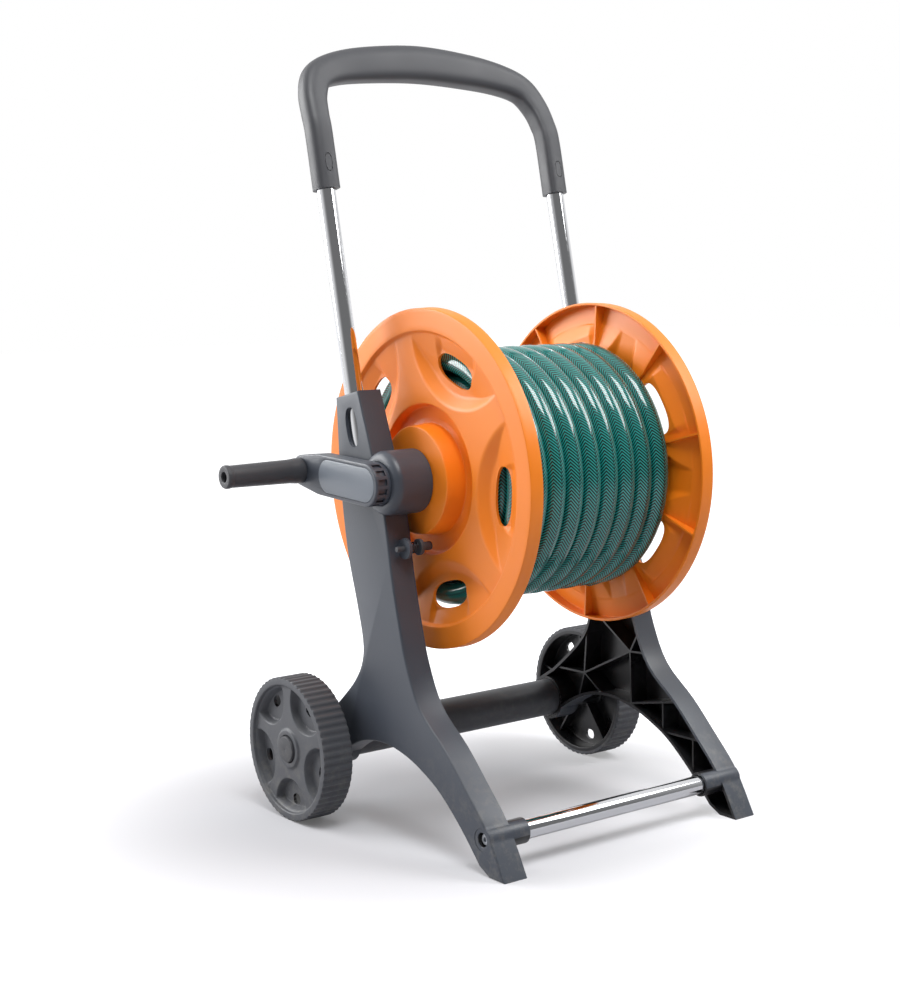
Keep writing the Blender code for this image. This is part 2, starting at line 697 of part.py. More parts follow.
def make_front_bar():
    reach = LEG_INNER + BAR_SEAT - GAP
    finish("front_bar", ring(BAR_RADIUS, BAR_RADIUS - BAR_WALL, -reach, reach, BAR_Y, BAR_Z, 16), "chrome")
    plug = cylinder(BAR_RADIUS - BAR_WALL - GAP, reach - 0.030, reach, BAR_Y, BAR_Z, 16)
    cut(plug, cylinder(SCREW_RADIUS + GAP, SCREW_SEAT - SCREW_LENGTH - 0.002, reach + 0.01,
                       BAR_Y, BAR_Z, 12))
    head = SCREW_SEAT + SCREW_HEAD_HEIGHT
    screw = turned([(0, head), (SCREW_HEAD_RADIUS - 0.0008, head), (SCREW_HEAD_RADIUS, head - 0.0008),
                    (SCREW_HEAD_RADIUS, SCREW_SEAT + GAP), (SCREW_RADIUS, SCREW_SEAT + GAP),
                    (SCREW_RADIUS, SCREW_SEAT - SCREW_LENGTH), (0, SCREW_SEAT - SCREW_LENGTH)],
                   12, BAR_Y, BAR_Z)
    cut(screw, cylinder(0.0024, SCREW_SEAT + 0.0015, SCREW_SEAT + 0.01, BAR_Y, BAR_Z, 6))
    for side, place in (("left", mirrored), ("right", lambda body: body)):
        finish(f"bar_plug_{side}", place(tool(plug.data.copy())), "dark_plastic")
        finish(f"bar_screw_{side}", place(tool(screw.data.copy())), "steel")
    for body in (plug, screw):
        bpy.data.objects.remove(body, do_unlink=True)


def make_axle():
    reach = LEG_INNER + CROSS_TUBE_SEAT - GAP
    finish("cross_tube", ring(CROSS_TUBE_RADIUS, CROSS_TUBE_RADIUS - CROSS_TUBE_WALL, -reach, reach,
                              AXLE_Y, AXLE_Z, 20), "dark_plastic")
    finish("axle_rod", cylinder(AXLE_ROD_RADIUS, -AXLE_END, AXLE_END, AXLE_Y, AXLE_Z, 16), "steel")
    washer = ring(WASHER_RADIUS, AXLE_ROD_RADIUS + GAP, LEG_OUTER + GAP, LEG_OUTER + GAP + WASHER_THICKNESS,
                  AXLE_Y, AXLE_Z, 14)
    bore = AXLE_ROD_RADIUS + GAP
    cap = turned([(0, CAP_TIP), (CAP_RADIUS - 0.002, CAP_TIP), (CAP_RADIUS, CAP_TIP - 0.0015),
                  (CAP_RADIUS, CAP_SEAT + GAP), (bore, CAP_SEAT + GAP), (bore, AXLE_END + GAP),
                  (0, AXLE_END + GAP)], 14, AXLE_Y, AXLE_Z)
    finish("axle_washer_left", mirrored(washer), "steel")
    finish("axle_washer_right", washer, "steel")
    finish("axle_cap_left", mirrored(cap), "dark_plastic")
    finish("axle_cap_right", cap, "dark_plastic")


# Wheels

def tread_outline():
    """The ribbed tread's outline, with one rib resting on the floor."""
    points = []
    for i in range(2 * WHEEL_RIBS):
        radius = WHEEL_RADIUS - (TREAD_DEPTH if i % 2 else 0.0)
        angle = -math.pi / 2 + math.pi * i / WHEEL_RIBS
        points.append((AXLE_Y + radius * math.cos(angle), AXLE_Z + radius * math.sin(angle)))
    return points


def wheel_petal(angle, margin, depth):
    """A drafted lens recess of the wheel's face."""
    face = WHEEL_OUTER - WHEEL_FACE_INSET
    rim = WHEEL_RADIUS - WHEEL_RIM_WALL - 0.0015
    sections = []
    for level in (-margin, depth):
        shrink = 0.5 * level
        sections.append((face - level, WHEEL_PETAL_CENTRE, WHEEL_PETAL_RADIUS - shrink, rim - shrink))
    return lens_body(angle, sections[0], sections[1], AXLE_Z, AXLE_Y)


def right_wheel_body():
    rim = WHEEL_RADIUS - WHEEL_RIM_WALL
    face = WHEEL_OUTER - WHEEL_FACE_INSET
    back = face - WHEEL_PETAL_DEPTH - WHEEL_FACE_WALL
    hub_inner = LEG_OUTER + GAP + WASHER_THICKNESS + RUN_GAP
    inner_circle = arc((AXLE_Y, AXLE_Z), rim, 0, 360, 31)[:-1]
    body = extruded([tread_outline(), inner_circle], WHEEL_INNER, WHEEL_OUTER)
    disc = cylinder(rim + 0.002, back, face, AXLE_Y, AXLE_Z, 26)
    hub = turned([(0, face + 0.002), (WHEEL_HUB_RADIUS - 0.002, face + 0.002), (WHEEL_HUB_RADIUS, face),
                  (WHEEL_HUB_RADIUS, back), (WHEEL_HUB_RADIUS - 0.008, hub_inner), (0, hub_inner)],
                 16, AXLE_Y, AXLE_Z)
    fuse(body, disc, hub)
    angles = [WHEEL_PETAL_ANGLE + math.tau * k / PETALS for k in range(PETALS)]
    ribs = []
    for angle in angles:
        turn = Matrix.Translation((0, AXLE_Y, AXLE_Z)) @ Matrix.Rotation(angle, 4, "X")
        ribs.append(box((WHEEL_INNER + 0.006, -RIB / 2, -rim - 0.001),
                        (back + 0.001, RIB / 2, -0.010), turn))
    fuse(body, *ribs)
    cutters = [wheel_petal(angle, 0.001, WHEEL_PETAL_DEPTH) for angle in angles]
    for angle in angles:
        slot = [(WHEEL_SLOT_RADIUS + radial, side)
                for radial, side in oval(WHEEL_SLOT_HALF, WHEEL_SLOT_HALF, 6)]
        outline = [(y + AXLE_Y, z) for y, z in about_hub(slot, angle, AXLE_Z)]
        cutters.append(extruded([outline], back - 0.002, face + 0.002))
    cutters.append(cylinder(CAP_RADIUS + 0.0007, CAP_SEAT, WHEEL_OUTER + 0.01, AXLE_Y, AXLE_Z, 18))
    cutters.append(cylinder(AXLE_ROD_RADIUS + RUN_GAP, hub_inner - 0.01, CAP_SEAT + 0.001,
                            AXLE_Y, AXLE_Z, 14))
    return cut(body, *cutters)


def make_wheels():
    wheel = right_wheel_body()
    axis = (0, AXLE_Y, AXLE_Z)
    finish("left_wheel", mirrored(wheel), "dark_plastic", axis)
    finish("right_wheel", wheel, "dark_plastic", axis)


# Drum

def flange_petal(angle, depth_low, depth_high, behind):
    """A scooped lens recess of the flange's plate, or the pan that lies behind it, between two depths."""
    sections = []
    for depth in (depth_low, depth_high):
        share = (depth - behind) / PETAL_DEPTH
        circle = PETAL_RADIUS - PETAL_DRAFT * share
        rim = PETAL_RIM - PETAL_RIM_DRAFT * share
        sections.append((PLATE - depth, PETAL_CENTRE, circle, rim))
    return lens_body(angle, sections[0], sections[1], DRUM_HEIGHT)


def flange_body(petal_angle):
    """A flange of the drum at its +X end, with its journal."""
    base = DRUM_WIDTH / 2
    edge = FLANGE_RADIUS
    step = edge - RIM_BAND
    wall = FLANGE_WALL
    spigot = BARREL_RADIUS - BARREL_WALL - GAP
    trough = TROUGH_RADIUS
    journal_end = BOSS_INNER + BOSS_WALL - GAP
    profile = [
        (JOURNAL_BORE, journal_end), (JOURNAL_RADIUS, journal_end), (JOURNAL_RADIUS, HUB_FACE),
        (HUB_RADIUS - 0.001, HUB_FACE), (HUB_RADIUS + 0.0025, base + 0.0045),
        (trough - 0.002, base + 0.0055), (trough + 0.001, PLATE),
        (step - 0.001, PLATE), (step + 0.002, FLANGE_FACE), (edge - 0.0015, FLANGE_FACE),
        (edge, FLANGE_FACE - 0.0015), (edge, base), (edge - wall, base),
        (edge - wall, FLANGE_FACE - wall), (step, PLATE - wall), (trough + 0.003, PLATE - wall),
        (trough - 0.003, base + 0.0022),
        (spigot, base - 0.0005), (spigot, base - SPIGOT_LENGTH),
        (spigot - wall, base - SPIGOT_LENGTH), (HUB_RADIUS - wall, HUB_FACE - wall),
        (JOURNAL_RADIUS, HUB_FACE - wall), (JOURNAL_RADIUS, base + 0.002), (JOURNAL_BORE, base + 0.002)]
    body = turned(profile, DRUM_STEPS, z=DRUM_HEIGHT, closed=True)
    angles = [petal_angle + math.tau * k / PETALS for k in range(PETALS)]
    pans = [flange_petal(angle, wall / 2, PETAL_DEPTH + wall, wall) for angle in angles]
    fuse(body, *pans)
    ribs = []
    for k in range(2 * PETALS):
        angle = petal_angle + math.pi / (2 * PETALS) + math.pi * k / PETALS
        turn = Matrix.Translation(HUB) @ Matrix.Rotation(angle, 4, "X")
        ribs.append(box((base + 0.0005, -FLANGE_RIB / 2, trough + 0.001),
                        (PLATE - 0.0015, FLANGE_RIB / 2, edge - wall / 2), turn))
    fuse(body, *ribs)
    cutters = [flange_petal(angle, -0.001, PETAL_DEPTH, 0.0) for angle in angles]
    for angle in angles:
        window = [(WINDOW_RADIUS + radial, side)
                  for radial, side in oval(WINDOW_HALF_RADIAL, WINDOW_HALF_LENGTH)]
        cutters.append(extruded([about_hub(window, angle)], base - 0.003, FLANGE_FACE))
    return cut(body, *cutters)


def make_flanges():
    finish("left_flange", mirrored(flange_body(LEFT_PETAL_ANGLE)), "orange_plastic", HUB)
    finish("right_flange", flange_body(RIGHT_PETAL_ANGLE), "orange_plastic", HUB)


def make_barrel():
    reach = DRUM_WIDTH / 2 - 0.0018
    barrel = ring(BARREL_RADIUS, BARREL_RADIUS - BARREL_WALL, -reach, reach, 0, DRUM_HEIGHT, DRUM_STEPS)
    cut(barrel, rod((OUTLET_X, 0, DRUM_HEIGHT), (OUTLET_X, 0, DRUM_HEIGHT + BARREL_RADIUS + 0.01),
                    OUTLET_RADIUS + GAP, 16))
    finish("drum_barrel", barrel, "orange_plastic", HUB)


# Hose

def hose_route():
    """The outer layer: flat turns that each step over by one pitch as they pass underneath."""
    radius = WOUND_RADIUS - HOSE_DIAMETER / 2
    flat_share = 1 - STEP_SPREAD / math.tau
    turns = HOSE_TURNS + flat_share
    count = round(turns * POINTS_PER_TURN)
    route = []
    for i in range(count + 1):
        done = i / POINTS_PER_TURN
        whole = math.floor(done)
        share = max(0.0, (done - whole - flat_share) / (1 - flat_share))
        if i == count:
            whole, share = HOSE_TURNS, 0.0
        across = HOSE_PITCH * (whole + share * share * (3 - 2 * share) - HOSE_TURNS / 2)
        angle = STEP_END + math.tau * done
        route.append(HUB + Vector((across, -radius * math.sin(angle), radius * math.cos(angle))))
    start_run = Vector((0, math.cos(STEP_END), math.sin(STEP_END))) * HOSE_DIAMETER
    last = STEP_END + math.tau * count / POINTS_PER_TURN
    end_run = Vector((0, -math.cos(last), -math.sin(last))) * HOSE_DIAMETER
    return [route[0] + start_run] + route + [route[-1] + end_run]


def least_gap(route, diameter, apart):
    """The smallest space between stretches of a tube that are some points apart."""
    least = min((a - b).length for i, a in enumerate(route) for b in route[i + apart:])
    return least - diameter


def make_hose():
    route = hose_route()
    gap = least_gap(route, HOSE_DIAMETER, POINTS_PER_TURN // 2)
    print(f"hose_outer_layer: least gap to itself {gap * 1000:.2f} mm")
    finish("hose_outer_layer", round_tube(route, HOSE_DIAMETER / 2, 1), "hose_pvc", HUB)
    middle = (WOUND_RADIUS - HOSE_DIAMETER / 2) * math.cos(math.pi / POINTS_PER_TURN)
    reach = DRUM_WIDTH / 2 - 0.003
    core = ring(middle - HOSE_DIAMETER / 2 - GAP, BARREL_RADIUS + GAP, -reach, reach, 0, DRUM_HEIGHT,
                DRUM_STEPS)
    finish("hose_inner_layers", core, "hose_pvc", HUB)


# Water way

def make_water_way():
    collar = BOSS_INNER + BOSS_WALL + GAP
    tip = BOSS_OUTER + NIPPLE_LENGTH
    profile = [(SPINDLE_BORE, tip), (NIPPLE_RADIUS - 0.001, tip), (NIPPLE_RADIUS, tip - 0.001),
               (NIPPLE_RADIUS, tip - 0.008), (NIPPLE_RADIUS - 0.0018, tip - 0.009),
               (NIPPLE_RADIUS - 0.0018, tip - 0.012), (NIPPLE_RADIUS + 0.001, tip - 0.013),
               (NIPPLE_RADIUS + 0.001, BOSS_OUTER + 0.004), (CRANK_HUB_RADIUS - 0.001, BOSS_OUTER + 0.0015),
               (CRANK_HUB_RADIUS - 0.001, collar), (SPINDLE_RADIUS, collar), (SPINDLE_RADIUS, SPINDLE_END),
               (SPINDLE_BORE, SPINDLE_END)]
    finish("inlet_spindle", turned(profile, 12, z=DRUM_HEIGHT, closed=True), "dark_plastic")
    cup_bore = SPINDLE_RADIUS + SEAL_THICKNESS + 2 * GAP
    seal_middle = SPINDLE_RADIUS + GAP + SEAL_THICKNESS / 2
    seal_centre = (SPINDLE_END + 0.003, seal_middle)
    seal = [(seal_centre[1] + y, seal_centre[0] + x)
            for x, y in arc((0, 0), SEAL_THICKNESS / 2, 0, 360, 6)[:-1]]
    finish("inlet_seal", turned(seal, 12, z=DRUM_HEIGHT, closed=True), "seal_rubber")
    cup_outer = cup_bore + ELBOW_WALL
    cup_high = DRUM_WIDTH / 2 + 0.002 - GAP
    chamber = OUTLET_X - OUTLET_RADIUS + 0.003
    elbow = cylinder(cup_outer, chamber - ELBOW_WALL, cup_high, 0, DRUM_HEIGHT, 16)
    top = DRUM_HEIGHT + BARREL_RADIUS - 0.0012
    fuse(elbow, rod((OUTLET_X, 0, DRUM_HEIGHT + 0.004), (OUTLET_X, 0, top), OUTLET_RADIUS, 16))
    cut(elbow, cylinder(cup_bore, chamber, cup_high + 0.01, 0, DRUM_HEIGHT, 16),
        rod((OUTLET_X, 0, DRUM_HEIGHT), (OUTLET_X, 0, top + 0.01), OUTLET_RADIUS - 0.0025, 12))
    finish("swivel_elbow", elbow, "dark_plastic", HUB)


# Crank

def on_crank(outline):
    """An outline along and across the crank arm, turned to the arm's rest angle."""
    lean = (math.cos(CRANK_TILT), math.sin(CRANK_TILT))
    return [(along * lean[0] - across * lean[1], DRUM_HEIGHT + along * lean[1] + across * lean[0])
            for along, across in outline]


def make_crank():
    shoulder = CRANK_LENGTH - 0.030
    outline = arc((0, 0), CRANK_RADIUS, 90, 270, 11)
    outline += [(shoulder, -CRANK_RADIUS + 0.0005)]
    outline += arc((CRANK_LENGTH, 0), CRANK_END_RADIUS, -75, 75, 9)
    outline += [(shoulder, CRANK_RADIUS - 0.0005)]
    back = CRANK_FACE - CRANK_THICKNESS
    arm = soften(extruded([on_crank(outline)], back, CRANK_FACE), CRANK_FACE, 0.0015, 1)
    hub_low = BOSS_INNER + BOSS_WALL + RUN_GAP
    hub = cylinder(CRANK_HUB_RADIUS, hub_low, back + 0.001, 0, DRUM_HEIGHT, 20)
    spigot = cylinder(CRANK_SPIGOT_RADIUS, DRUM_WIDTH / 2 + 0.004, hub_low + 0.001, 0, DRUM_HEIGHT, 14)
    fuse(arm, hub, spigot)
    floor = CRANK_FACE - COVER_DEPTH
    cover_run = COVER_LENGTH - COVER_RADIUS
    recess = stadium(cover_run, COVER_RADIUS + GAP, COVER_RADIUS + GAP, 9)
    cutters = [extruded([on_crank(recess)], floor, CRANK_FACE + 0.01)]
    cutters.append(cylinder(SCREW_HEAD_RADIUS + 0.001, CRANK_SCREW_SEAT, CRANK_FACE, 0, DRUM_HEIGHT, 16))
    cutters.append(cylinder(SCREW_RADIUS + GAP, 0.05, CRANK_FACE, 0, DRUM_HEIGHT, 12))
    end_y, end_z = on_crank([(CRANK_LENGTH, 0)])[0]
    cutters.append(cylinder(GRIP_PIN_RADIUS + GAP, back + 0.003, CRANK_FACE + 0.01, end_y, end_z, 16))
    for k in range(CRANK_POCKETS):
        angle = CRANK_TILT + math.pi * (0.14 + 0.72 * k / (CRANK_POCKETS - 1))
        turn = Matrix.Translation(HUB) @ Matrix.Rotation(angle, 4, "X")
        cutters.append(box((back + 0.0025, -0.0028, CRANK_RADIUS - 0.0022),
                           (CRANK_FACE - 0.003, 0.0028, CRANK_RADIUS + 0.01), turn))
    arm = cut(arm, *cutters)
    finish("crank_arm", mirrored(arm), "grey_plastic", HUB)
    bpy.data.objects.remove(arm, do_unlink=True)

    cover = soften(extruded([on_crank(stadium(cover_run, COVER_RADIUS, COVER_RADIUS, 9))],
                            floor + GAP, CRANK_FACE + COVER_PROUD), CRANK_FACE + COVER_PROUD, 0.0008, 1)
    finish("crank_cover", mirrored(cover), "grey_plastic", HUB)
    bpy.data.objects.remove(cover, do_unlink=True)

    nut_high = DRUM_WIDTH / 2 + 0.002 - GAP
    nut_low = nut_high - NUT_HEIGHT
    head = CRANK_SCREW_SEAT + SCREW_HEAD_HEIGHT
    screw = turned([(0, head), (SCREW_HEAD_RADIUS, head),
                    (SCREW_HEAD_RADIUS, CRANK_SCREW_SEAT + GAP), (SCREW_RADIUS, CRANK_SCREW_SEAT + GAP),
                    (SCREW_RADIUS, nut_low - 0.002), (0, nut_low - 0.002)], 12, z=DRUM_HEIGHT)
    finish("crank_screw", mirrored(screw), "steel", HUB)
    bpy.data.objects.remove(screw, do_unlink=True)
    nut = cylinder(NUT_RADIUS, nut_low, nut_high, 0, DRUM_HEIGHT, 6)
    cut(nut, cylinder(SCREW_RADIUS + GAP, nut_low - 0.01, nut_high + 0.01, 0, DRUM_HEIGHT, 12))
    finish("crank_nut", mirrored(nut), "steel", HUB)
    bpy.data.objects.remove(nut, do_unlink=True)


def make_grip():
    end_y, end_z = on_crank([(CRANK_LENGTH, 0)])[0]
    base = CRANK_FACE + GAP
    tip = GRIP_TIP
    head = tip - 0.012
    bore = GRIP_PIN_RADIUS + RUN_GAP
    profile = [(GRIP_BORE, tip), (GRIP_END_RADIUS - 0.0016, tip), (GRIP_END_RADIUS, tip - 0.0015),
               (GRIP_END_RADIUS, tip - 0.0045), (GRIP_END_RADIUS - 0.0006, tip - 0.0065),
               (GRIP_RADIUS - 0.0008, base + 0.014), (GRIP_RADIUS, base + 0.006), (GRIP_RADIUS, base),
               (bore, base), (bore, head - RUN_GAP), (GRIP_BORE, head - RUN_GAP)]
    grip = turned(profile, 14, end_y, end_z, closed=True)
    finish("crank_grip", mirrored(grip), "dark_plastic", (0, end_y, end_z))
    bpy.data.objects.remove(grip, do_unlink=True)
    pin = turned([(0, head + 0.003), (GRIP_BORE - RUN_GAP, head + 0.003), (GRIP_BORE - RUN_GAP, head),
                  (GRIP_PIN_RADIUS, head), (GRIP_PIN_RADIUS, CRANK_FACE - CRANK_THICKNESS + 0.003 + GAP),
                  (0, CRANK_FACE - CRANK_THICKNESS + 0.003 + GAP)], 16, end_y, end_z)
    finish("grip_pin", mirrored(pin), "steel", HUB)
    bpy.data.objects.remove(pin, do_unlink=True)


# Brake

def make_brake():
    z = DRUM_HEIGHT - BRAKE_DROP
    knob_high = BRAKE_EAR_X - BRAKE_SPRING_LENGTH
    knob_low = knob_high - BRAKE_KNOB_LENGTH
    plunger = turned([(0, BRAKE_TAIL_X), (BRAKE_PIN_RADIUS - 0.0005, BRAKE_TAIL_X),
                      (BRAKE_PIN_RADIUS, BRAKE_TAIL_X - 0.0005), (BRAKE_PIN_RADIUS, knob_high),
                      (BRAKE_KNOB_RADIUS - 0.0008, knob_high), (BRAKE_KNOB_RADIUS, knob_high - 0.0008),
                      (BRAKE_KNOB_RADIUS, knob_low), (BRAKE_REACH_RADIUS, knob_low),
                      (BRAKE_REACH_RADIUS, knob_low - BRAKE_REACH), (0, knob_low - BRAKE_REACH)],
                     12, BRAKE_Y, z)
    finish("brake_plunger", mirrored(plunger), "dark_plastic", (0, BRAKE_Y, z))
    bpy.data.objects.remove(plunger, do_unlink=True)
    low = knob_high + GAP + BRAKE_SPRING_WIRE
    high = BRAKE_EAR_X - GAP - BRAKE_SPRING_WIRE
    route = []
    count = round(BRAKE_SPRING_CURLS * 8)
    for i in range(count + 1):
        angle = math.tau * i / 8
        route.append((-(low + (high - low) * i / count), BRAKE_Y + BRAKE_SPRING_RADIUS * math.cos(angle),
                      z + BRAKE_SPRING_RADIUS * math.sin(angle)))
    gap = least_gap([Vector(point) for point in route], 2 * BRAKE_SPRING_WIRE, 6)
    print(f"brake_spring: least gap to itself {gap * 1000:.2f} mm")
    finish("brake_spring", round_tube(route, BRAKE_SPRING_WIRE, 1), "steel")


# Handle

HANDLE_HALF = ((0.0000, 0.1315, 0.0000, 0.0235, 0.0235), (0.0000, 0.0785, 0.0000, 0.0235, 0.0235),
               (0.0015, 0.0615, 0.0030, 0.0240, 0.0238), (0.0070, 0.0415, 0.0085, 0.0258, 0.0245),
               (0.0205, 0.0220, 0.0142, 0.0285, 0.0255), (0.0460, 0.0108, 0.0180, 0.0315, 0.0265),
               (0.0860, 0.0040, 0.0198, 0.0350, 0.0275), (0.1420, 0.0000, 0.0200, 0.0370, 0.0280))


def handle_stations():
    """Stations of the bow from its right arm to its left: X, height, back, width and depth."""
    half = []
    for inward, drop, back, width, depth in smooth_line(HANDLE_HALF, 2):
        reach = LEG_MIDDLE * (1 - inward / HANDLE_HALF[-1][0])
        height = HANDLE_HEIGHT - drop * (HANDLE_HEIGHT - ARM_BOTTOM) / HANDLE_HALF[0][1]
        half.append((reach, height, back, width, depth))
    other = [(-x, height, back, width, depth) for x, height, back, width, depth in half[-2::-1]]
    return half + other


def make_handle():
    stations = handle_stations()
    rings = []
    for i, (x, height, back, width, depth) in enumerate(stations):
        before = stations[max(i - 1, 0)]
        after = stations[min(i + 1, len(stations) - 1)]
        run = Vector((after[0] - before[0], after[1] - before[1])).normalized()
        across = Vector((run.y, 0, 0)) - LEAN_UP * run.x
        centre = SOCKET_TOP + Vector((x, 0, 0)) + LEAN_UP * height + LEAN_BACK * back
        section = []
        for k in range(HANDLE_SIDES):
            angle = math.tau * (k + 0.5) / HANDLE_SIDES
            wide = math.copysign(abs(math.cos(angle)) ** 0.75, math.cos(angle)) * width / 2
            deep = math.copysign(abs(math.sin(angle)) ** 0.75, math.sin(angle)) * depth / 2
            section.append(centre + across * wide + LEAN_BACK * deep)
        rings.append(section)
    body = lofted(rings)
    bore = rod(on_tube(ARM_BOTTOM - 0.02), on_tube(ARM_BOTTOM + TUBE_IN_HANDLE + GAP), TUBE_RADIUS + GAP, 16)
    window = button_hole(-ARM_DEPTH, -TUBE_RADIUS + 0.002)
    cut(body, mirrored(bore), mirrored(window))
    cut(body, bore, window)
    finish("handle", body, "grey_plastic")


def button_outline(margin):
    """The snap button's oval as X and height along the tube."""
    return [(across, BUTTON_HEIGHT + ARM_BOTTOM + along)
            for across, along in oval(BUTTON_WIDTH / 2 + margin, BUTTON_LENGTH / 2 + margin)]


def button_hole(front, back):
    """A cutter for the snap button's oval, between two distances behind the tube's axis."""
    return extruded([button_outline(GAP)], front, back, socket_frame())


def make_buttons():
    face = -ARM_DEPTH / 2
    inner = -(TUBE_RADIUS - TUBE_WALL) + 0.0032
    button = extruded([button_outline(0)], face, inner, socket_frame())
    middle = ARM_BOTTOM + BUTTON_HEIGHT
    half = BUTTON_LENGTH / 2 + 0.002
    plate = box((inner - 0.0014, -0.0044, middle - half), (inner, 0.0044, middle + half), socket_frame())
    fuse(button, plate)
    place = on_tube(middle)
    finish("left_snap_button", mirrored(button), "dark_plastic", (-place.x, place.y, place.z))
    finish("right_snap_button", button, "dark_plastic", place)


def build():
    start_scene()
    make_legs()
    make_upright_tubes()
    make_front_bar()
    make_axle()
    make_wheels()
    make_flanges()
    make_barrel()
    make_hose()
    make_water_way()
    make_crank()
    make_grip()
    make_brake()
    make_handle()
    make_buttons()


build()
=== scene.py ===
"""Looks of the hose reel cart: moulded legs and wheels, an orange drum with a braided hose, chromed tubes.

Metres, +Z up. X runs along the drum axis with the crank at -X, -Y is the side of the feet.
"""

import math

import bmesh
import bpy
import numpy as np
from mathutils import Matrix, Vector


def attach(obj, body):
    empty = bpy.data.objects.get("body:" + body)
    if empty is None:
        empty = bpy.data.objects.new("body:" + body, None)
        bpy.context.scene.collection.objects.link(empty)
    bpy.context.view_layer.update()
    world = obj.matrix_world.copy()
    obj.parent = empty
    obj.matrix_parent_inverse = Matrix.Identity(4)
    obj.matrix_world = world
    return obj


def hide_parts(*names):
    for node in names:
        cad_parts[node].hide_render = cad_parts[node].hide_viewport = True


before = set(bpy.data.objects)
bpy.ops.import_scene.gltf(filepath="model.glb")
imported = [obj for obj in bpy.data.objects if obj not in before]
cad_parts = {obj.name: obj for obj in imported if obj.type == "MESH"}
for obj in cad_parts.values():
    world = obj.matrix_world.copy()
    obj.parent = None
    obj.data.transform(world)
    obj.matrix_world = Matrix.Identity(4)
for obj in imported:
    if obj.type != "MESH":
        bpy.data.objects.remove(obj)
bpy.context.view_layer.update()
SLOTS = {name: node.data.materials[0].name.split(".")[0] for name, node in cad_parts.items()}

# Camera and studio. The floor glows white beyond a pool of painted shade around the cart, where the cart's
# real shadow falls too.
CAMERA_PLACE = (-1.01434, -1.31487, 0.51180)
CAMERA_AZIMUTH = math.radians(-36.366)
CAMERA_ELEVATION = math.radians(6.939)
CAMERA_ROLL = math.radians(-1.178)
CAMERA_LENS = 62.23
CAMERA_SENSOR = 36.0
CAMERA_REACH = 60.0
STUDIO_FRONT = (-0.20, -0.95, 0.05)
STUDIO_REAR = (0.20, 0.95, 0.0)
LAMP_AIM = (0.03, -0.09, 0.40)
FLOOR_HALF = 14
# A pool of painted shade on the floor: its glow is held low near this centre and rises to full beyond the far
# distance.
POOL_CENTRE = (-0.08, 0.05, 0.0)
POOL_NEAR = 0.12
POOL_FAR = 0.60

# Finishes, with the real sizes of their patterns
PLASTIC_IOR = 1.49
FLOW_MARK = 0.055
DUST_HEIGHT = 0.11
DUST_PATCH = 0.012
POLISHING_LINE = 0.004
SPANGLE = 0.0025
TALC_BLOOM = 0.002
CORE_CLOUD = 0.03
DUST = "#7F7C75"

# Moulded plastics by slot: name, the two ends of the mottling, dust, roughness, size and height of the
# grain. The legs and wheels are grained and nearly matt, the crank's cover and the drum have a satin
# sheen, and the hollow sides of the legs and wheels are painted almost black as painted shade.
PLASTICS = {
    "grey_plastic": ("grained_grey_polypropylene", "#3F444D", "#474C55", DUST, 0.40, 0.0014, 0.00010),
    "wheel_plastic": ("matt_grey_polypropylene", "#494B50", "#505257", DUST, 0.50, 0.0014, 0.00010),
    "crank_plastic": ("satin_grey_abs", "#6C737C", "#757C85", DUST, 0.38, 0.0009, 0.00004),
    "dark_plastic": ("smooth_dark_polypropylene", "#3C3D41", "#444549", DUST, 0.50, 0.0010, 0.00005),
    # Painted shade: a near-black finish laid on the hollow sides of the legs and wheels, where shade falls.
    "leg_hollow": ("dark_polypropylene_painted_shade", "#19191B", "#202023", "#4A4844", 0.30, 0.0020, 0.00004),
    "orange_plastic": ("orange_polypropylene", "#F47F14", "#F7881C", "#C79A70", 0.40, 0.0012, 0.00004),
}

# Clearances, and the distances at which points are one and an edge is too short to keep
GAP = 0.0003
RUN_GAP = 0.0004
SAME_POINT = 0.000004
SLIVER = 0.000002
ON_PLANE = 0.00001

# Drum
DRUM_HEIGHT = 0.336
FLANGE_RADIUS = 0.160
DRUM_WIDTH = 0.192
RIM_DEPTH = 0.014
FLANGE_WALL = 0.0026
RIM_BAND = 0.0225
HUB_RADIUS = 0.051
HUB_RISE = 0.0095
TROUGH_RADIUS = 0.0700
BARREL_RADIUS = 0.0550
BARREL_WALL = 0.0030
SPIGOT_LENGTH = 0.0045
PETALS = 5
PETAL_CENTRE = 0.156
PETAL_RADIUS = 0.078
PETAL_DEPTH = 0.0070
PETAL_DRAFT = 0.0110
PETAL_RIM_DRAFT = 0.0320
PAD_HALF_LENGTH = 0.0350
PAD_DEPTH = 0.0055
PAD_END = 0.0090
PAD_STRETCH = 2.2
WINDOW_RADIUS = 0.1095
WINDOW_HALF_RADIAL = 0.0125
WINDOW_HALF_LENGTH = 0.0270
LEFT_PETAL_ANGLE = math.radians(22)
RIGHT_PETAL_ANGLE = math.radians(58)
FLANGE_RIB = 0.0022

# Hose
HOSE_DIAMETER = 0.0205
HOSE_WALL = 0.0028
HOSE_BORE_DEPTH = 0.018
HOSE_SIDES = 24
POINTS_PER_TURN = 72
HOSE_SIDE_GAP = 0.00095
WOUND_RADIUS = 0.1210
INNER_LAYERS = (0.0658, 0.0882)
STEP_END = math.radians(295)
STEP_SPREAD = math.radians(130)
FIRST_CLIMB_TURNS = 0.5
SECOND_LAYER_REST_TURNS = 0.25
SECOND_LAYER_EARLY_TURNS = 0.2
CLIMB_SPREAD = math.radians(80)
CLIMB_BOW = 1.3
YARN_COLUMNS = 4
YARN_PITCH = 0.0030
YARN_RUN = 2.6

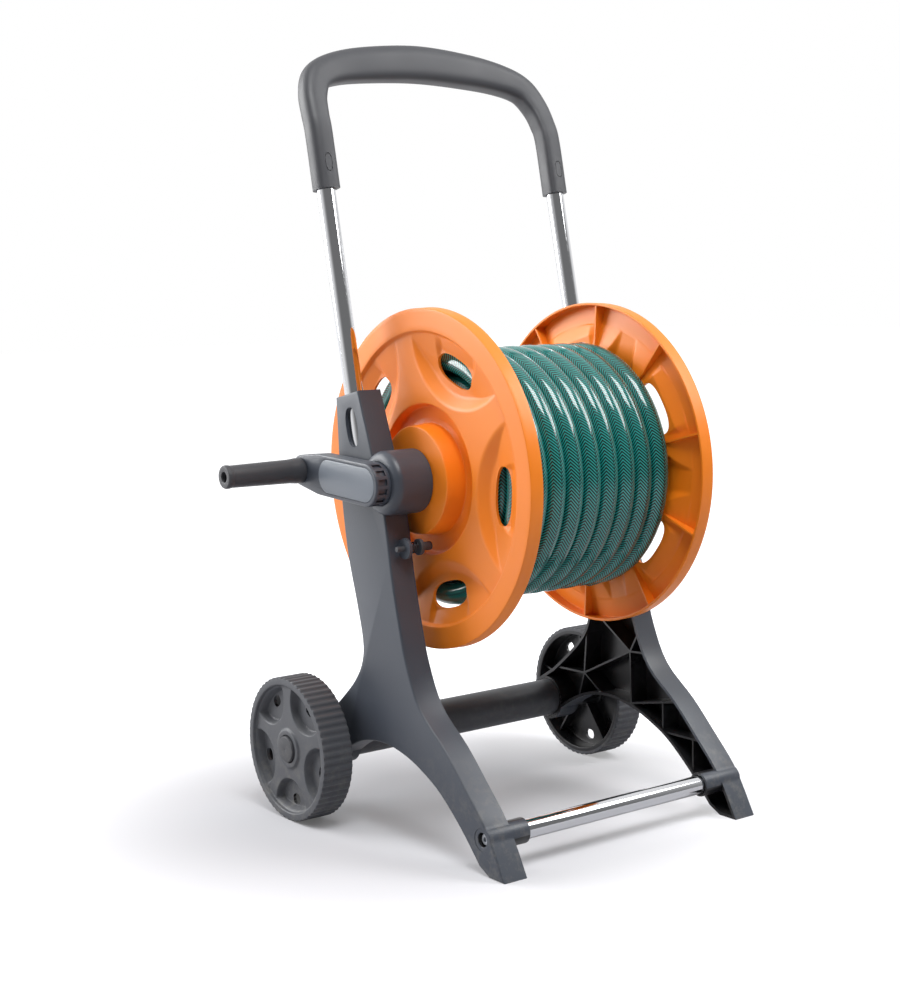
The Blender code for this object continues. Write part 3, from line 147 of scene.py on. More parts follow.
# Legs
LEG_INNER = 0.129
LEG_THICKNESS = 0.026
LEG_WALL = 0.003
LEG_EDGE = 0.002
BOSS_RADIUS = 0.030
BOSS_PROUD = 0.005
BOSS_EDGE = 0.0085
BOSS_WALL = 0.018
RIB = 0.002
FOOT_FRONT = -0.170
FOOT_LENGTH = 0.0215
WINDOW_SLOT_WIDTH = 0.019
WINDOW_SLOT_LENGTH = 0.038
WINDOW_SLOT_DROP = -0.031
WINDOW_SLOT_SHIFT = -0.008

# Wheels and axle
WHEEL_RADIUS = 0.0706
WHEEL_WIDTH = 0.032
WHEEL_INNER = 0.170
WHEEL_HUB_RADIUS = 0.0195
TREAD_TEETH = 60
TREAD_DEPTH = 0.0012
WHEEL_RIM_WALL = 0.008
WHEEL_FACE_WALL = 0.003
WHEEL_FACE_INSET = 0.0035
WHEEL_PETAL_DEPTH = 0.007
WHEEL_PETAL_CENTRE = 0.058
WHEEL_PETAL_RADIUS = 0.028
WHEEL_PETAL_DRAFT = 0.0035
WHEEL_PETAL_ANGLE = math.radians(35)
WHEEL_SLOT_RADIUS = 0.0515
WHEEL_SLOT_HALF_RADIAL = 0.0055
WHEEL_SLOT_HALF_LENGTH = 0.0065
AXLE_Y = 0.1115
AXLE_ROD_RADIUS = 0.005
CROSS_TUBE_RADIUS = 0.0193
CROSS_TUBE_WALL = 0.003
CROSS_TUBE_SEAT = 0.018
AXLE_LOBE_WALL = 0.0045
WASHER_THICKNESS = 0.0015
CAP_RADIUS = 0.0128
CAP_PROUD = 0.001

# Front bar
BAR_Y = -0.1395
BAR_Z = 0.032
BAR_RADIUS = 0.009
BAR_WALL = 0.0012
BAR_SLEEVE_WALL = 0.0024
BAR_SLEEVE_LENGTH = 0.020
BAR_SEAT = 0.014
SCREW_RADIUS = 0.0025
SCREW_HEAD_RADIUS = 0.0055

# Upright tubes and handle
TUBE_RADIUS = 0.009
TUBE_WALL = 0.0011
TUBE_LEAN = math.radians(11.5)
SOCKET_TOP_Y = 0.0646
SOCKET_RISE = 0.0796
TUBE_SEAT = 0.070
ARM_BOTTOM = 0.197
TUBE_IN_HANDLE = 0.050
HANDLE_HEIGHT = 0.3335
ARM_DEPTH = 0.0235
HANDLE_SIDES = 40
HANDLE_SQUARE = 0.48
HANDLE_ROUND = 0.75
BUTTON_HEIGHT = 0.024
BUTTON_WIDTH = 0.007
BUTTON_LENGTH = 0.017

# Crank
CRANK_LENGTH = 0.110
CRANK_TILT = math.radians(3.1)
CRANK_FACE = 0.176
CRANK_THICKNESS = 0.0145
CRANK_RADIUS = 0.020
CRANK_END_RADIUS = 0.015
CRANK_HUB_RADIUS = 0.0200
CRANK_SPIGOT_RADIUS = 0.009
COVER_RADIUS = 0.016
COVER_DEPTH = 0.002
COVER_LENGTH = 0.078
COVER_PROUD = 0.0004
CRANK_POCKETS = 6
CRANK_POCKET_HALF_WIDTH = 0.0028
CRANK_POCKET_DEPTH = 0.0022
GRIP_LENGTH = 0.084
GRIP_RADIUS = 0.0123
GRIP_END_RADIUS = 0.0112
GRIP_BORE = 0.0050
GRIP_PIN_RADIUS = 0.0038
JOURNAL_RADIUS = 0.0147

# Brake
BRAKE_Y = -0.0135
BRAKE_DROP = 0.0605
BRAKE_EAR_RADIUS = 0.0098
BRAKE_EAR_THICKNESS = 0.003
BRAKE_EAR_INSET = 0.011
BRAKE_TAIL = 0.0085
BRAKE_PIN_RADIUS = 0.0026
BRAKE_KNOB_RADIUS = 0.0076
BRAKE_KNOB_LENGTH = 0.004
BRAKE_REACH = 0.011
BRAKE_REACH_RADIUS = 0.004
BRAKE_SPRING_LENGTH = 0.012
BRAKE_SPRING_RADIUS = 0.0048
BRAKE_SPRING_WIRE = 0.0006
BRAKE_SPRING_CURLS = 3.5
POINTS_PER_CURL = 24

# Places worked out from the sizes above
HOSE_RUN = DRUM_WIDTH - 2 * HOSE_SIDE_GAP - HOSE_DIAMETER
HOSE_TURNS = math.floor(HOSE_RUN / (HOSE_DIAMETER + GAP))
HOSE_PITCH = HOSE_RUN / HOSE_TURNS
FLANGE_FACE = DRUM_WIDTH / 2 + RIM_DEPTH
HUB_FACE = FLANGE_FACE + HUB_RISE
LEG_OUTER = LEG_INNER + LEG_THICKNESS
LEG_MIDDLE = LEG_INNER + LEG_THICKNESS / 2
BOSS_INNER = HUB_FACE + 0.0008
BOSS_OUTER = LEG_OUTER + BOSS_PROUD
AXLE_Z = WHEEL_RADIUS
SOCKET_TOP_Z = DRUM_HEIGHT + SOCKET_RISE
PLATE = FLANGE_FACE - 0.0035
PETAL_RIM = FLANGE_RADIUS - RIM_BAND - 0.0015
JOURNAL_BORE = CRANK_SPIGOT_RADIUS + RUN_GAP
SCREW_SEAT = LEG_OUTER - 0.007
CRANK_SCREW_SEAT = CRANK_FACE - 0.010
BRAKE_EAR_X = LEG_INNER + BRAKE_EAR_INSET
BRAKE_TAIL_X = BRAKE_EAR_X + BRAKE_EAR_THICKNESS + BRAKE_TAIL
WHEEL_OUTER = WHEEL_INNER + WHEEL_WIDTH
HUB = Vector((0, 0, DRUM_HEIGHT))
LEAN_UP = Vector((0, math.sin(TUBE_LEAN), math.cos(TUBE_LEAN)))
LEAN_BACK = Vector((0, math.cos(TUBE_LEAN), -math.sin(TUBE_LEAN)))
SOCKET_TOP = Vector((0, SOCKET_TOP_Y, SOCKET_TOP_Z))
GRIP_TIP = CRANK_FACE + GAP + GRIP_LENGTH
CAP_TIP = WHEEL_OUTER + CAP_PROUD
CAP_SEAT = WHEEL_OUTER - 0.009
AXLE_END = CAP_TIP - 0.003
ORIGIN = Vector(((GRIP_TIP - CAP_TIP) / 2, -(FOOT_FRONT + AXLE_Y + WHEEL_RADIUS) / 2, 0))

# Turns an outline drawn in X and Y into one in Y and Z, extruded along X
ALONG_X = Matrix(((0, 0, 1, 0), (1, 0, 0, 0), (0, 1, 0, 0), (0, 0, 0, 1)))


# Camera, floor and light

def make_camera():
    """Stand where the photograph was taken from, a little above the drum and to the left of the feet."""
    back = Vector((math.sin(CAMERA_AZIMUTH) * math.cos(CAMERA_ELEVATION),
                   -math.cos(CAMERA_AZIMUTH) * math.cos(CAMERA_ELEVATION), math.sin(CAMERA_ELEVATION)))
    level = Vector((math.cos(CAMERA_AZIMUTH), math.sin(CAMERA_AZIMUTH), 0))
    upright = back.cross(level)
    right = level * math.cos(CAMERA_ROLL) + upright * math.sin(CAMERA_ROLL)
    up = upright * math.cos(CAMERA_ROLL) - level * math.sin(CAMERA_ROLL)
    lens = bpy.data.cameras.new("camera")
    lens.lens = CAMERA_LENS
    lens.sensor_width = CAMERA_SENSOR
    lens.clip_end = CAMERA_REACH
    camera = bpy.data.objects.new("camera", lens)
    turn = Matrix((right, up, back)).transposed().to_4x4()
    camera.matrix_world = Matrix.Translation(CAMERA_PLACE) @ turn
    bpy.context.scene.collection.objects.link(camera)
    bpy.context.scene.camera = camera


def linear(code):
    """A colour written as sRGB hex, as linear red, green, blue and alpha."""
    shares = [int(code[i:i + 2], 16) / 255 for i in (1, 3, 5)]
    return (*[s / 12.92 if s <= 0.04045 else ((s + 0.055) / 1.055) ** 2.4 for s in shares], 1.0)


def add(tree, kind, values=None, links=None, **settings):
    """Add a node with its settings, the values of its sockets and the links into them."""
    made = tree.nodes.new(kind)
    for name, value in settings.items():
        setattr(made, name, value)
    for socket, value in (values or {}).items():
        made.inputs[socket].default_value = value
    for socket, source in (links or {}).items():
        tree.links.new(source, made.inputs[socket])
    return made


def make_world():
    """A studio that is bright all round and dim behind the camera, seen as plain white."""
    world = bpy.data.worlds.new("studio")
    bpy.context.scene.world = world
    world.use_nodes = True
    tree = world.node_tree
    tree.nodes.clear()
    place = add(tree, "ShaderNodeTexCoord")
    front = add(tree, "ShaderNodeVectorMath", {1: STUDIO_FRONT}, {0: place.outputs["Generated"]},
                operation="DOT_PRODUCT")
    path = add(tree, "ShaderNodeLightPath")
    mirror = add(tree, "ShaderNodeMath", None,
                 {0: path.outputs["Is Glossy Ray"], 1: path.outputs["Is Transmission Ray"]},
                 operation="MAXIMUM")
    behind = add(tree, "ShaderNodeMapRange", {"To Min": 0.60, "To Max": 1.0}, {"Value": mirror.outputs[0]})
    ahead = add(tree, "ShaderNodeMapRange", {"To Min": 0.06, "To Max": 0.20}, {"Value": mirror.outputs[0]})
    share = add(tree, "ShaderNodeMapRange", {"From Min": -0.15, "From Max": 0.65},
                {"Value": front.outputs["Value"], "To Min": behind.outputs["Result"],
                 "To Max": ahead.outputs["Result"]}, interpolation_type="SMOOTHSTEP")
    white = linear("#FFFFFF")
    light = add(tree, "ShaderNodeBackground", {"Color": white}, {"Strength": share.outputs["Result"]})
    plain = add(tree, "ShaderNodeBackground", {"Color": white, "Strength": 1.0})
    mixed = add(tree, "ShaderNodeMixShader", None,
                {0: path.outputs["Is Camera Ray"], 1: light.outputs[0], 2: plain.outputs[0]})
    add(tree, "ShaderNodeOutputWorld", None, {"Surface": mixed.outputs[0]})


def make_floor():
    """A white painted floor that fades into the white behind it and keeps the cart's soft shadow, with painted
    shade: its glow is held low in a pool around the cart.
    """
    mesh = bpy.data.meshes.new("floor")
    corners = [(-FLOOR_HALF, -FLOOR_HALF, 0), (FLOOR_HALF, -FLOOR_HALF, 0),
               (FLOOR_HALF, FLOOR_HALF, 0), (-FLOOR_HALF, FLOOR_HALF, 0)]
    mesh.from_pydata(corners, [], [(0, 1, 2, 3)])
    floor = bpy.data.objects.new("floor", mesh)
    bpy.context.scene.collection.objects.link(floor)
    material = bpy.data.materials.new("studio_floor_paint")
    material.use_nodes = True
    tree = material.node_tree
    tree.nodes.clear()
    paint = add(tree, "ShaderNodeBsdfDiffuse", {"Color": linear("#BCBCC0")})
    place = add(tree, "ShaderNodeTexCoord")
    far = add(tree, "ShaderNodeVectorMath", {1: POOL_CENTRE}, {0: place.outputs["Object"]},
              operation="DISTANCE")
    # Painted shade: the camera sees less glow near the pool's centre, so the floor around the cart is darker
    # than its light alone makes it.
    fade = add(tree, "ShaderNodeMapRange",
               {"From Min": POOL_NEAR, "From Max": POOL_FAR, "To Min": 0.10, "To Max": 1.0},
               {"Value": far.outputs["Value"]}, interpolation_type="SMOOTHSTEP")
    glow = add(tree, "ShaderNodeEmission", {"Color": linear("#FFFFFF")}, {"Strength": fade.outputs["Result"]})
    path = add(tree, "ShaderNodeLightPath")
    back = add(tree, "ShaderNodeVectorMath", {1: STUDIO_REAR}, {0: place.outputs["Object"]},
               operation="DOT_PRODUCT")
    rear = add(tree, "ShaderNodeMapRange", {"From Min": -0.3, "From Max": 0.9},
               {"Value": back.outputs["Value"]}, interpolation_type="SMOOTHSTEP")
    mirror = add(tree, "ShaderNodeMath", None, {0: path.outputs["Is Glossy Ray"], 1: rear.outputs["Result"]},
                 operation="MULTIPLY")
    seen = add(tree, "ShaderNodeMath", None, {0: path.outputs["Is Camera Ray"], 1: mirror.outputs[0]},
               operation="MAXIMUM")
    dark = add(tree, "ShaderNodeEmission", {"Strength": 0.0})
    lift = add(tree, "ShaderNodeMixShader", None,
               {0: seen.outputs[0], 1: dark.outputs[0], 2: glow.outputs[0]})
    both = add(tree, "ShaderNodeAddShader", None, {0: paint.outputs[0], 1: lift.outputs[0]})
    add(tree, "ShaderNodeOutputMaterial", None, {"Surface": both.outputs[0]})
    mesh.materials.append(material)


def make_softbox(name, place, aim, width, height, power):
    """A rectangular softbox that faces a point."""
    lamp = bpy.data.lights.new(name, "AREA")
    lamp.shape = "RECTANGLE"
    lamp.size = width
    lamp.size_y = height
    lamp.energy = power
    holder = bpy.data.objects.new(name, lamp)
    holder.location = place
    holder.rotation_euler = (Vector(aim) - Vector(place)).to_track_quat("-Z", "Y").to_euler()
    bpy.context.scene.collection.objects.link(holder)


def make_light():
    """The white studio and its three softboxes."""
    bpy.context.scene.view_settings.view_transform = "Standard"
    make_world()
    make_floor()
    make_softbox("rear_left_softbox", (-1.25, 1.80, 1.15), (0, 0, 0.35), 1.4, 1.4, 50)
    make_softbox("overhead_softbox", (-0.40, -0.68, 1.85), LAMP_AIM, 0.80, 0.80, 22)
    make_softbox("front_right_softbox", (1.20, -0.92, 1.60), LAMP_AIM, 0.95, 0.95, 22)


# Materials

def new_finish(name):
    """An empty node material, with its tree and its object coordinates."""
    material = bpy.data.materials.new(name)
    material.use_nodes = True
    tree = material.node_tree
    tree.nodes.clear()
    return material, tree, add(tree, "ShaderNodeTexCoord").outputs["Object"]


def finished(material, values, links):
    """The material with its Principled shader, fed with values and links."""
    shader = add(material.node_tree, "ShaderNodeBsdfPrincipled", values, links)
    add(material.node_tree, "ShaderNodeOutputMaterial", None, {"Surface": shader.outputs[0]})
    return material


def moulded_plastic(name, colour, flow, dust, roughness, grain, grain_height):
    """Injection moulded plastic: a grained skin with faint flow marks and a little dust near the floor.

    colour and flow are the two ends of its mottling. grain is the size of the tool's texture, which is
    drawn coarser than real so that it shows.
    """
    material, tree, place = new_finish(name)
    mottle = add(tree, "ShaderNodeTexNoise", {"Scale": 1 / FLOW_MARK, "Detail": 3.0, "Roughness": 0.55},
                 {"Vector": place})
    tint = add(tree, "ShaderNodeMix", {"A": linear(colour), "B": linear(flow)},
               {"Factor": mottle.outputs["Fac"]}, data_type="RGBA")
    height = add(tree, "ShaderNodeSeparateXYZ", None, {0: place})
    low = add(tree, "ShaderNodeMapRange",
              {"From Min": 0.0, "From Max": DUST_HEIGHT, "To Min": 0.55, "To Max": 0.0},
              {"Value": height.outputs["Z"]})
    specks = add(tree, "ShaderNodeTexNoise", {"Scale": 1 / DUST_PATCH, "Detail": 5.0, "Roughness": 0.7},
                 {"Vector": place})
    patch = add(tree, "ShaderNodeMapRange", {"From Min": 0.48, "From Max": 0.72},
                {"Value": specks.outputs["Fac"]})
    dusty = add(tree, "ShaderNodeMath", None, {0: low.outputs["Result"], 1: patch.outputs["Result"]},
                operation="MULTIPLY")
    worn = add(tree, "ShaderNodeMix", {"B": linear(dust)},
               {"Factor": dusty.outputs[0], "A": tint.outputs["Result"]}, data_type="RGBA")
    sheen = add(tree, "ShaderNodeMapRange",
                {"From Min": 0.3, "From Max": 0.7, "To Min": roughness - 0.05, "To Max": roughness + 0.07},
                {"Value": mottle.outputs["Fac"]})
    skin = add(tree, "ShaderNodeTexNoise", {"Scale": 1 / grain, "Detail": 2.0, "Roughness": 0.6},
               {"Vector": place})
    relief = add(tree, "ShaderNodeBump", {"Strength": 0.6, "Distance": grain_height},
                 {"Height": skin.outputs["Fac"]})
    return finished(material, {"IOR": PLASTIC_IOR},
                    {"Base Color": worn.outputs["Result"], "Roughness": sheen.outputs["Result"],
                     "Normal": relief.outputs["Normal"]})


def chromed_steel():
    """Chromed steel tube: a mirror skin with faint polishing lines, so it shows the studio in clean bands."""
    material, tree, place = new_finish("chromed_steel_tube")
    lines = add(tree, "ShaderNodeTexNoise", {"Scale": 1 / POLISHING_LINE, "Detail": 3.0}, {"Vector": place})
    haze = add(tree, "ShaderNodeMapRange",
               {"From Min": 0.3, "From Max": 0.7, "To Min": 0.04, "To Max": 0.10},
               {"Value": lines.outputs["Fac"]})
    return finished(material, {"Metallic": 1.0, "Base Color": linear("#DADBDE")},
                    {"Roughness": haze.outputs["Result"]})


def plated_steel(name, dull_tone, bright_tone):
    """Plated steel: a dull plating with a cloudy spangle, on the rod, washers, screws and spring."""
    material, tree, place = new_finish(name)
    spangle = add(tree, "ShaderNodeTexVoronoi", {"Scale": 1 / SPANGLE}, {"Vector": place})
    tint = add(tree, "ShaderNodeMix", {"A": linear(dull_tone), "B": linear(bright_tone)},
               {"Factor": spangle.outputs["Distance"]}, data_type="RGBA")
    dull = add(tree, "ShaderNodeMapRange",
               {"From Min": 0.0, "From Max": 0.6, "To Min": 0.24, "To Max": 0.40},
               {"Value": spangle.outputs["Distance"]})
    return finished(material, {"Metallic": 1.0},
                    {"Base Color": tint.outputs["Result"], "Roughness": dull.outputs["Result"]})


def seal_rubber():
    """Nitrile rubber: black and matt, with a talc bloom."""
    material, tree, place = new_finish("nitrile_seal_rubber")
    bloom = add(tree, "ShaderNodeTexNoise", {"Scale": 1 / TALC_BLOOM, "Detail": 3.0}, {"Vector": place})
    tint = add(tree, "ShaderNodeMix", {"A": linear("#141414"), "B": linear("#2A2A2A")},
               {"Factor": bloom.outputs["Fac"]}, data_type="RGBA")
    return finished(material, {"Roughness": 0.75}, {"Base Color": tint.outputs["Result"]})


def braided_pvc():
    """Braided PVC hose: knitted polyester yarn in a green core under a clear gloss skin.

    The yarn lies in columns of chevrons, a stitch every 3 mm, a little coarser than real so that it shows.
    The skin gives the long white highlights.
    """
    material, tree, place = new_finish("braided_pvc_hose")
    lay = add(tree, "ShaderNodeUVMap", uv_map="hose_lay")
    parts = add(tree, "ShaderNodeSeparateXYZ", None, {0: lay.outputs["UV"]})
    column = add(tree, "ShaderNodeMath", {1: 0.5 / YARN_COLUMNS}, {0: parts.outputs["X"]},
                 operation="PINGPONG")
    slant = add(tree, "ShaderNodeMath", {1: YARN_COLUMNS * 2 * YARN_RUN}, {0: column.outputs[0]},
                operation="MULTIPLY")
    stitch = add(tree, "ShaderNodeMath", {1: 1 / YARN_PITCH}, {0: parts.outputs["Y"]}, operation="MULTIPLY")
    step = add(tree, "ShaderNodeMath", None, {0: slant.outputs[0], 1: stitch.outputs[0]}, operation="ADD")
    wave = add(tree, "ShaderNodeMath", {1: 0.5}, {0: step.outputs[0]}, operation="PINGPONG")
    yarn = add(tree, "ShaderNodeMapRange", {"From Min": 0.22, "From Max": 0.40},
               {"Value": wave.outputs[0]}, interpolation_type="SMOOTHSTEP")
    edge = add(tree, "ShaderNodeMapRange",
               {"From Min": 0.0, "From Max": 0.08 / YARN_COLUMNS, "To Min": 0.2, "To Max": 1.0},
               {"Value": column.outputs[0]})
    shown = add(tree, "ShaderNodeMath", None, {0: yarn.outputs["Result"], 1: edge.outputs["Result"]},
                operation="MULTIPLY")
    cloud = add(tree, "ShaderNodeTexNoise", {"Scale": 1 / CORE_CLOUD, "Detail": 2.0}, {"Vector": place})
    core = add(tree, "ShaderNodeMix", {"A": linear("#022422"), "B": linear("#032C2A")},
               {"Factor": cloud.outputs["Fac"]}, data_type="RGBA")
    both = add(tree, "ShaderNodeMix", {"B": linear("#22A39B")},
               {"Factor": shown.outputs[0], "A": core.outputs["Result"]}, data_type="RGBA")
    return finished(material, {"Roughness": 0.40, "Specular IOR Level": 0.15, "Coat Weight": 1.0,
                               "Coat IOR": 1.6, "Coat Roughness": 0.09},
                    {"Base Color": both.outputs["Result"]})


def make_finishes():
    """The finishes by name: one for each slot of the CAD nodes, and the few that only the scene has."""
    finishes = {slot: moulded_plastic(*row) for slot, row in PLASTICS.items()}
    finishes["chrome"] = chromed_steel()
    finishes["steel"] = plated_steel("zinc_plated_steel", "#A9ADB3", "#C4C8CC")
    finishes["spring_steel"] = plated_steel("blackened_spring_steel", "#3C3D42", "#505258")
    finishes["hose_pvc"] = braided_pvc()
    finishes["seal_rubber"] = seal_rubber()
    return finishes


def dress_nodes(finishes):
    """Give each CAD node the finish of its own slot."""
    for name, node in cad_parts.items():
        node.data.materials[0] = finishes[SLOTS[name]]


# Making bodies

CUTTERS = bpy.data.collections.new("cutters")
bpy.context.scene.collection.children.link(CUTTERS)


def tool(mesh, matrix=None):
    """Put a mesh in the cutters' collection, as a body to cut or join with."""
    body = bpy.data.objects.new("tool", mesh)
    CUTTERS.objects.link(body)
    if matrix is not None:
        mesh.transform(matrix)
    return body


def from_bmesh(work, matrix=None):
    """Turn a bmesh into a tool body, with its faces pointing out."""
    bmesh.ops.recalc_face_normals(work, faces=work.faces)
    mesh = bpy.data.meshes.new("tool")
    work.to_mesh(mesh)
    work.free()
    return tool(mesh, matrix)


def evaluated_mesh(body):
    """The body's mesh with its modifiers applied."""
    graph = bpy.context.evaluated_depsgraph_get()
    graph.update()
    return bpy.data.meshes.new_from_object(body.evaluated_get(graph))


def combine(body, others, operation):
    """Join or cut the body with the others, which are used up."""
    for other in others:
        step = body.modifiers.new(operation.lower(), "BOOLEAN")
        step.operation = operation
        step.solver = "EXACT"
        step.object = other
    body.data = evaluated_mesh(body)
    body.modifiers.clear()
    for other in others:
        bpy.data.objects.remove(other, do_unlink=True)
    return body


def joined(bodies):
    """Bodies that don't touch, as one tool."""
    work = bmesh.new()
    for body in bodies:
        work.from_mesh(body.data)
        bpy.data.objects.remove(body, do_unlink=True)
    return from_bmesh(work)


def fuse(body, *others):
    """The body joined with the others."""
    return combine(body, others, "UNION")


def cut(body, *others):
    """The body with the others cut out of it."""
    return combine(body, others, "DIFFERENCE")


def flipped(body):
    """The body itself, mirrored in the middle plane."""
    body.data.transform(Matrix.Scale(-1, 4, (1, 0, 0)))
    body.data.flip_normals()
    return body


def mirrored(body):
    """The body's mirror image in the middle plane, as a new body."""
    return flipped(tool(body.data.copy()))


def show(name, body, finish, rides, *nodes, sharp=32):
    """Name a piece, put it on the cart, shade it and let it stand for its CAD nodes."""
    mesh = body.data
    work = bmesh.new()
    work.from_mesh(mesh)
    bmesh.ops.remove_doubles(work, verts=work.verts, dist=SAME_POINT)
    bmesh.ops.dissolve_degenerate(work, edges=work.edges, dist=SLIVER)
    work.to_mesh(mesh)
    work.free()
    mesh.transform(Matrix.Translation(ORIGIN))
    mesh.materials.clear()
    mesh.materials.append(finish)
    mesh.shade_smooth()
    mesh.set_sharp_from_angle(angle=math.radians(sharp))
    piece = bpy.data.objects.new(name, mesh)
    mesh.name = name
    bpy.context.scene.collection.objects.link(piece)
    bpy.data.objects.remove(body, do_unlink=True)
    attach(piece, rides)
    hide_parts(*nodes)
    return piece


def cylinder(radius, low, high, y=0.0, z=0.0, sides=48):
    """A cylinder along X from low to high."""
    work = bmesh.new()
    bmesh.ops.create_cone(work, cap_ends=True, segments=sides, radius1=radius, radius2=radius,
                          depth=high - low)
    place = Matrix.Translation((0, 0, (low + high) / 2))
    return from_bmesh(work, Matrix.Translation((0, y, z)) @ ALONG_X @ place)


def box(low, high, matrix=None):
    """A box between two corners."""
    low, high = Vector(low), Vector(high)
    work = bmesh.new()
    bmesh.ops.create_cube(work, size=1.0)
    fit = Matrix.Translation((low + high) / 2) @ Matrix.Diagonal((*(high - low), 1))
    return from_bmesh(work, (matrix or Matrix()) @ fit)


def rod(start, end, radius, sides):
    """A cylinder between two points."""
    start, end = Vector(start), Vector(end)
    work = bmesh.new()
    bmesh.ops.create_cone(work, cap_ends=True, segments=sides, radius1=radius, radius2=radius,
                          depth=(end - start).length)
    turn = (end - start).to_track_quat("Z", "Y").to_matrix().to_4x4()
    return from_bmesh(work, Matrix.Translation((start + end) / 2) @ turn)


def eased(profile, radius, steps=3):
    """The closed profile with its corners rounded off by short curves."""
    places = [np.array(point, dtype=float) for point in profile]
    count = len(places)
    line = []
    for i, corner in enumerate(places):
        before, after = places[i - 1], places[(i + 1) % count]
        first, second = before - corner, after - corner
        reach = min(radius, 0.42 * np.linalg.norm(first), 0.42 * np.linalg.norm(second))
        start = corner + first / np.linalg.norm(first) * reach
        end = corner + second / np.linalg.norm(second) * reach
        for step in range(steps + 1):
            t = step / steps
            line.append(tuple((1 - t) ** 2 * start + 2 * t * (1 - t) * corner + t * t * end))
    return line


def spaced(profile, most, zone):
    """The closed profile, with its stretches inside a zone of radii split to no more than a size."""
    line = []
    for i, start in enumerate(profile):
        end = profile[(i + 1) % len(profile)]
        start, end = np.array(start), np.array(end)
        inside = max(start[0], end[0]) > zone[0] and min(start[0], end[0]) < zone[1]
        parts = max(1, math.ceil(np.linalg.norm(end - start) / (most if inside else 4 * most)))
        line += [tuple(start + (end - start) * k / parts) for k in range(parts)]
    return line


def turned(profile, steps, y=0.0, z=0.0, shape=None):
    """A closed profile of radius and X position, turned about an axis along X.

    shape moves the points: it takes radius, position and angle from the vertical towards -Y.
    """
    rows = np.array(profile, dtype=float)
    radius, angle = np.meshgrid(rows[:, 0], np.arange(steps) * math.tau / steps, indexing="ij")
    along = np.repeat(rows[:, 1:2], steps, axis=1)
    if shape is not None:
        radius, along = shape(radius, along, angle)
    points = np.stack([along, y - radius * np.sin(angle), z + radius * np.cos(angle)], axis=-1).reshape(-1, 3)
    count = len(rows)
    faces = []
    for i in range(count):
        here, after = i * steps, ((i + 1) % count) * steps
        faces += [(here + j, here + (j + 1) % steps, after + (j + 1) % steps, after + j)
                  for j in range(steps)]
    mesh = bpy.data.meshes.new("tool")
    mesh.from_pydata(points.tolist(), [], faces)
    work = bmesh.new()
    work.from_mesh(mesh)
    bmesh.ops.remove_doubles(work, verts=work.verts, dist=SLIVER)
    return from_bmesh(work)


def ring(outer, inner, low, high, y, z, sides, edge=0.0006):
    """A plain ring along X with softened edges."""
    return turned(eased([(inner, high), (outer, high), (outer, low), (inner, low)], edge), sides, y, z)


def extruded(outlines, low, high, matrix=None):
    """Closed outlines of Y and Z, filled and drawn out along X from low to high."""
    curve = bpy.data.curves.new("tool", "CURVE")
    curve.dimensions = "2D"
    curve.fill_mode = "BOTH"
    curve.extrude = (high - low) / 2
    for outline in outlines:
        spline = curve.splines.new("POLY")
        spline.points.add(len(outline) - 1)
        for point, place in zip(spline.points, outline):
            point.co = (place[0], place[1], 0, 1)
        spline.use_cyclic_u = True
    guide = bpy.data.objects.new("tool", curve)
    CUTTERS.objects.link(guide)
    mesh = evaluated_mesh(guide)
    bpy.data.objects.remove(guide, do_unlink=True)
    work = bmesh.new()
    work.from_mesh(mesh)
    bmesh.ops.remove_doubles(work, verts=work.verts, dist=ON_PLANE)
    shift = ALONG_X @ Matrix.Translation((0, 0, (low + high) / 2))
    return from_bmesh(work, (matrix or Matrix()) @ shift)


def lofted(rings):
    """A closed body through rings of equally many points, capped at both ends."""
    work = bmesh.new()
    made = [[work.verts.new(point) for point in points] for points in rings]
    for lower, upper in zip(made, made[1:]):
        for i in range(len(lower)):
            j = (i + 1) % len(lower)
            work.faces.new((lower[i], lower[j], upper[j], upper[i]))
    work.faces.new(list(reversed(made[0])))
    work.faces.new(made[-1])
    return from_bmesh(work)


def arc(centre, radius, start, end, count):
    """Points on an arc, angles in degrees from +Y towards +Z."""
    points = []
    for i in range(count):
        angle = math.radians(start + (end - start) * i / (count - 1))
        points.append((centre[0] + radius * math.cos(angle), centre[1] + radius * math.sin(angle)))
    return points


def smooth_line(points, steps):
    """A Catmull-Rom line through the points, each stretch split into steps."""
    places = np.array(points, dtype=float)
    last = len(places) - 1
    line = []
    for i in range(last):
        before, start = places[max(i - 1, 0)], places[i]
        end, after = places[i + 1], places[min(i + 2, last)]
        for step in range(steps):
            t = step / steps
            pull = (end - before) * t + (2 * before - 5 * start + 4 * end - after) * t * t
            place = start + 0.5 * (pull + (3 * start - before - 3 * end + after) * t ** 3)
            line.append(tuple(float(value) for value in place))
    line.append(tuple(float(value) for value in places[-1]))
    return line


def inset(outline, distance):
    """The outline moved inwards by a distance, for an outline that runs anticlockwise."""
    moved = []
    count = len(outline)
    for i in range(count):
        before = Vector(outline[i - 1])
        here = Vector(outline[i])
        after = Vector(outline[(i + 1) % count])
        first = (here - before).normalized()
        second = (after - here).normalized()
        left = Vector((-first.y, first.x)) + Vector((-second.y, second.x))
        left.normalize()
        lean = max(left.dot(Vector((-first.y, first.x))), 0.5)
        moved.append(tuple(here + left * distance / lean))
    return moved


def stadium(length, first_radius, second_radius, count):
    """A link outline from the origin along +Y: two round ends joined by straight edges."""
    return arc((0, 0), first_radius, 90, 270, count) + arc((length, 0), second_radius, -90, 90, count)


def about_hub(outline, angle, height=DRUM_HEIGHT):
    """An outline of radial and sideways distances, turned to an angle from the vertical."""
    turned_outline = []
    for radial, side in outline:
        y = -radial * math.sin(angle) - side * math.cos(angle)
        z = radial * math.cos(angle) - side * math.sin(angle)
        turned_outline.append((y, height + z))
    return turned_outline


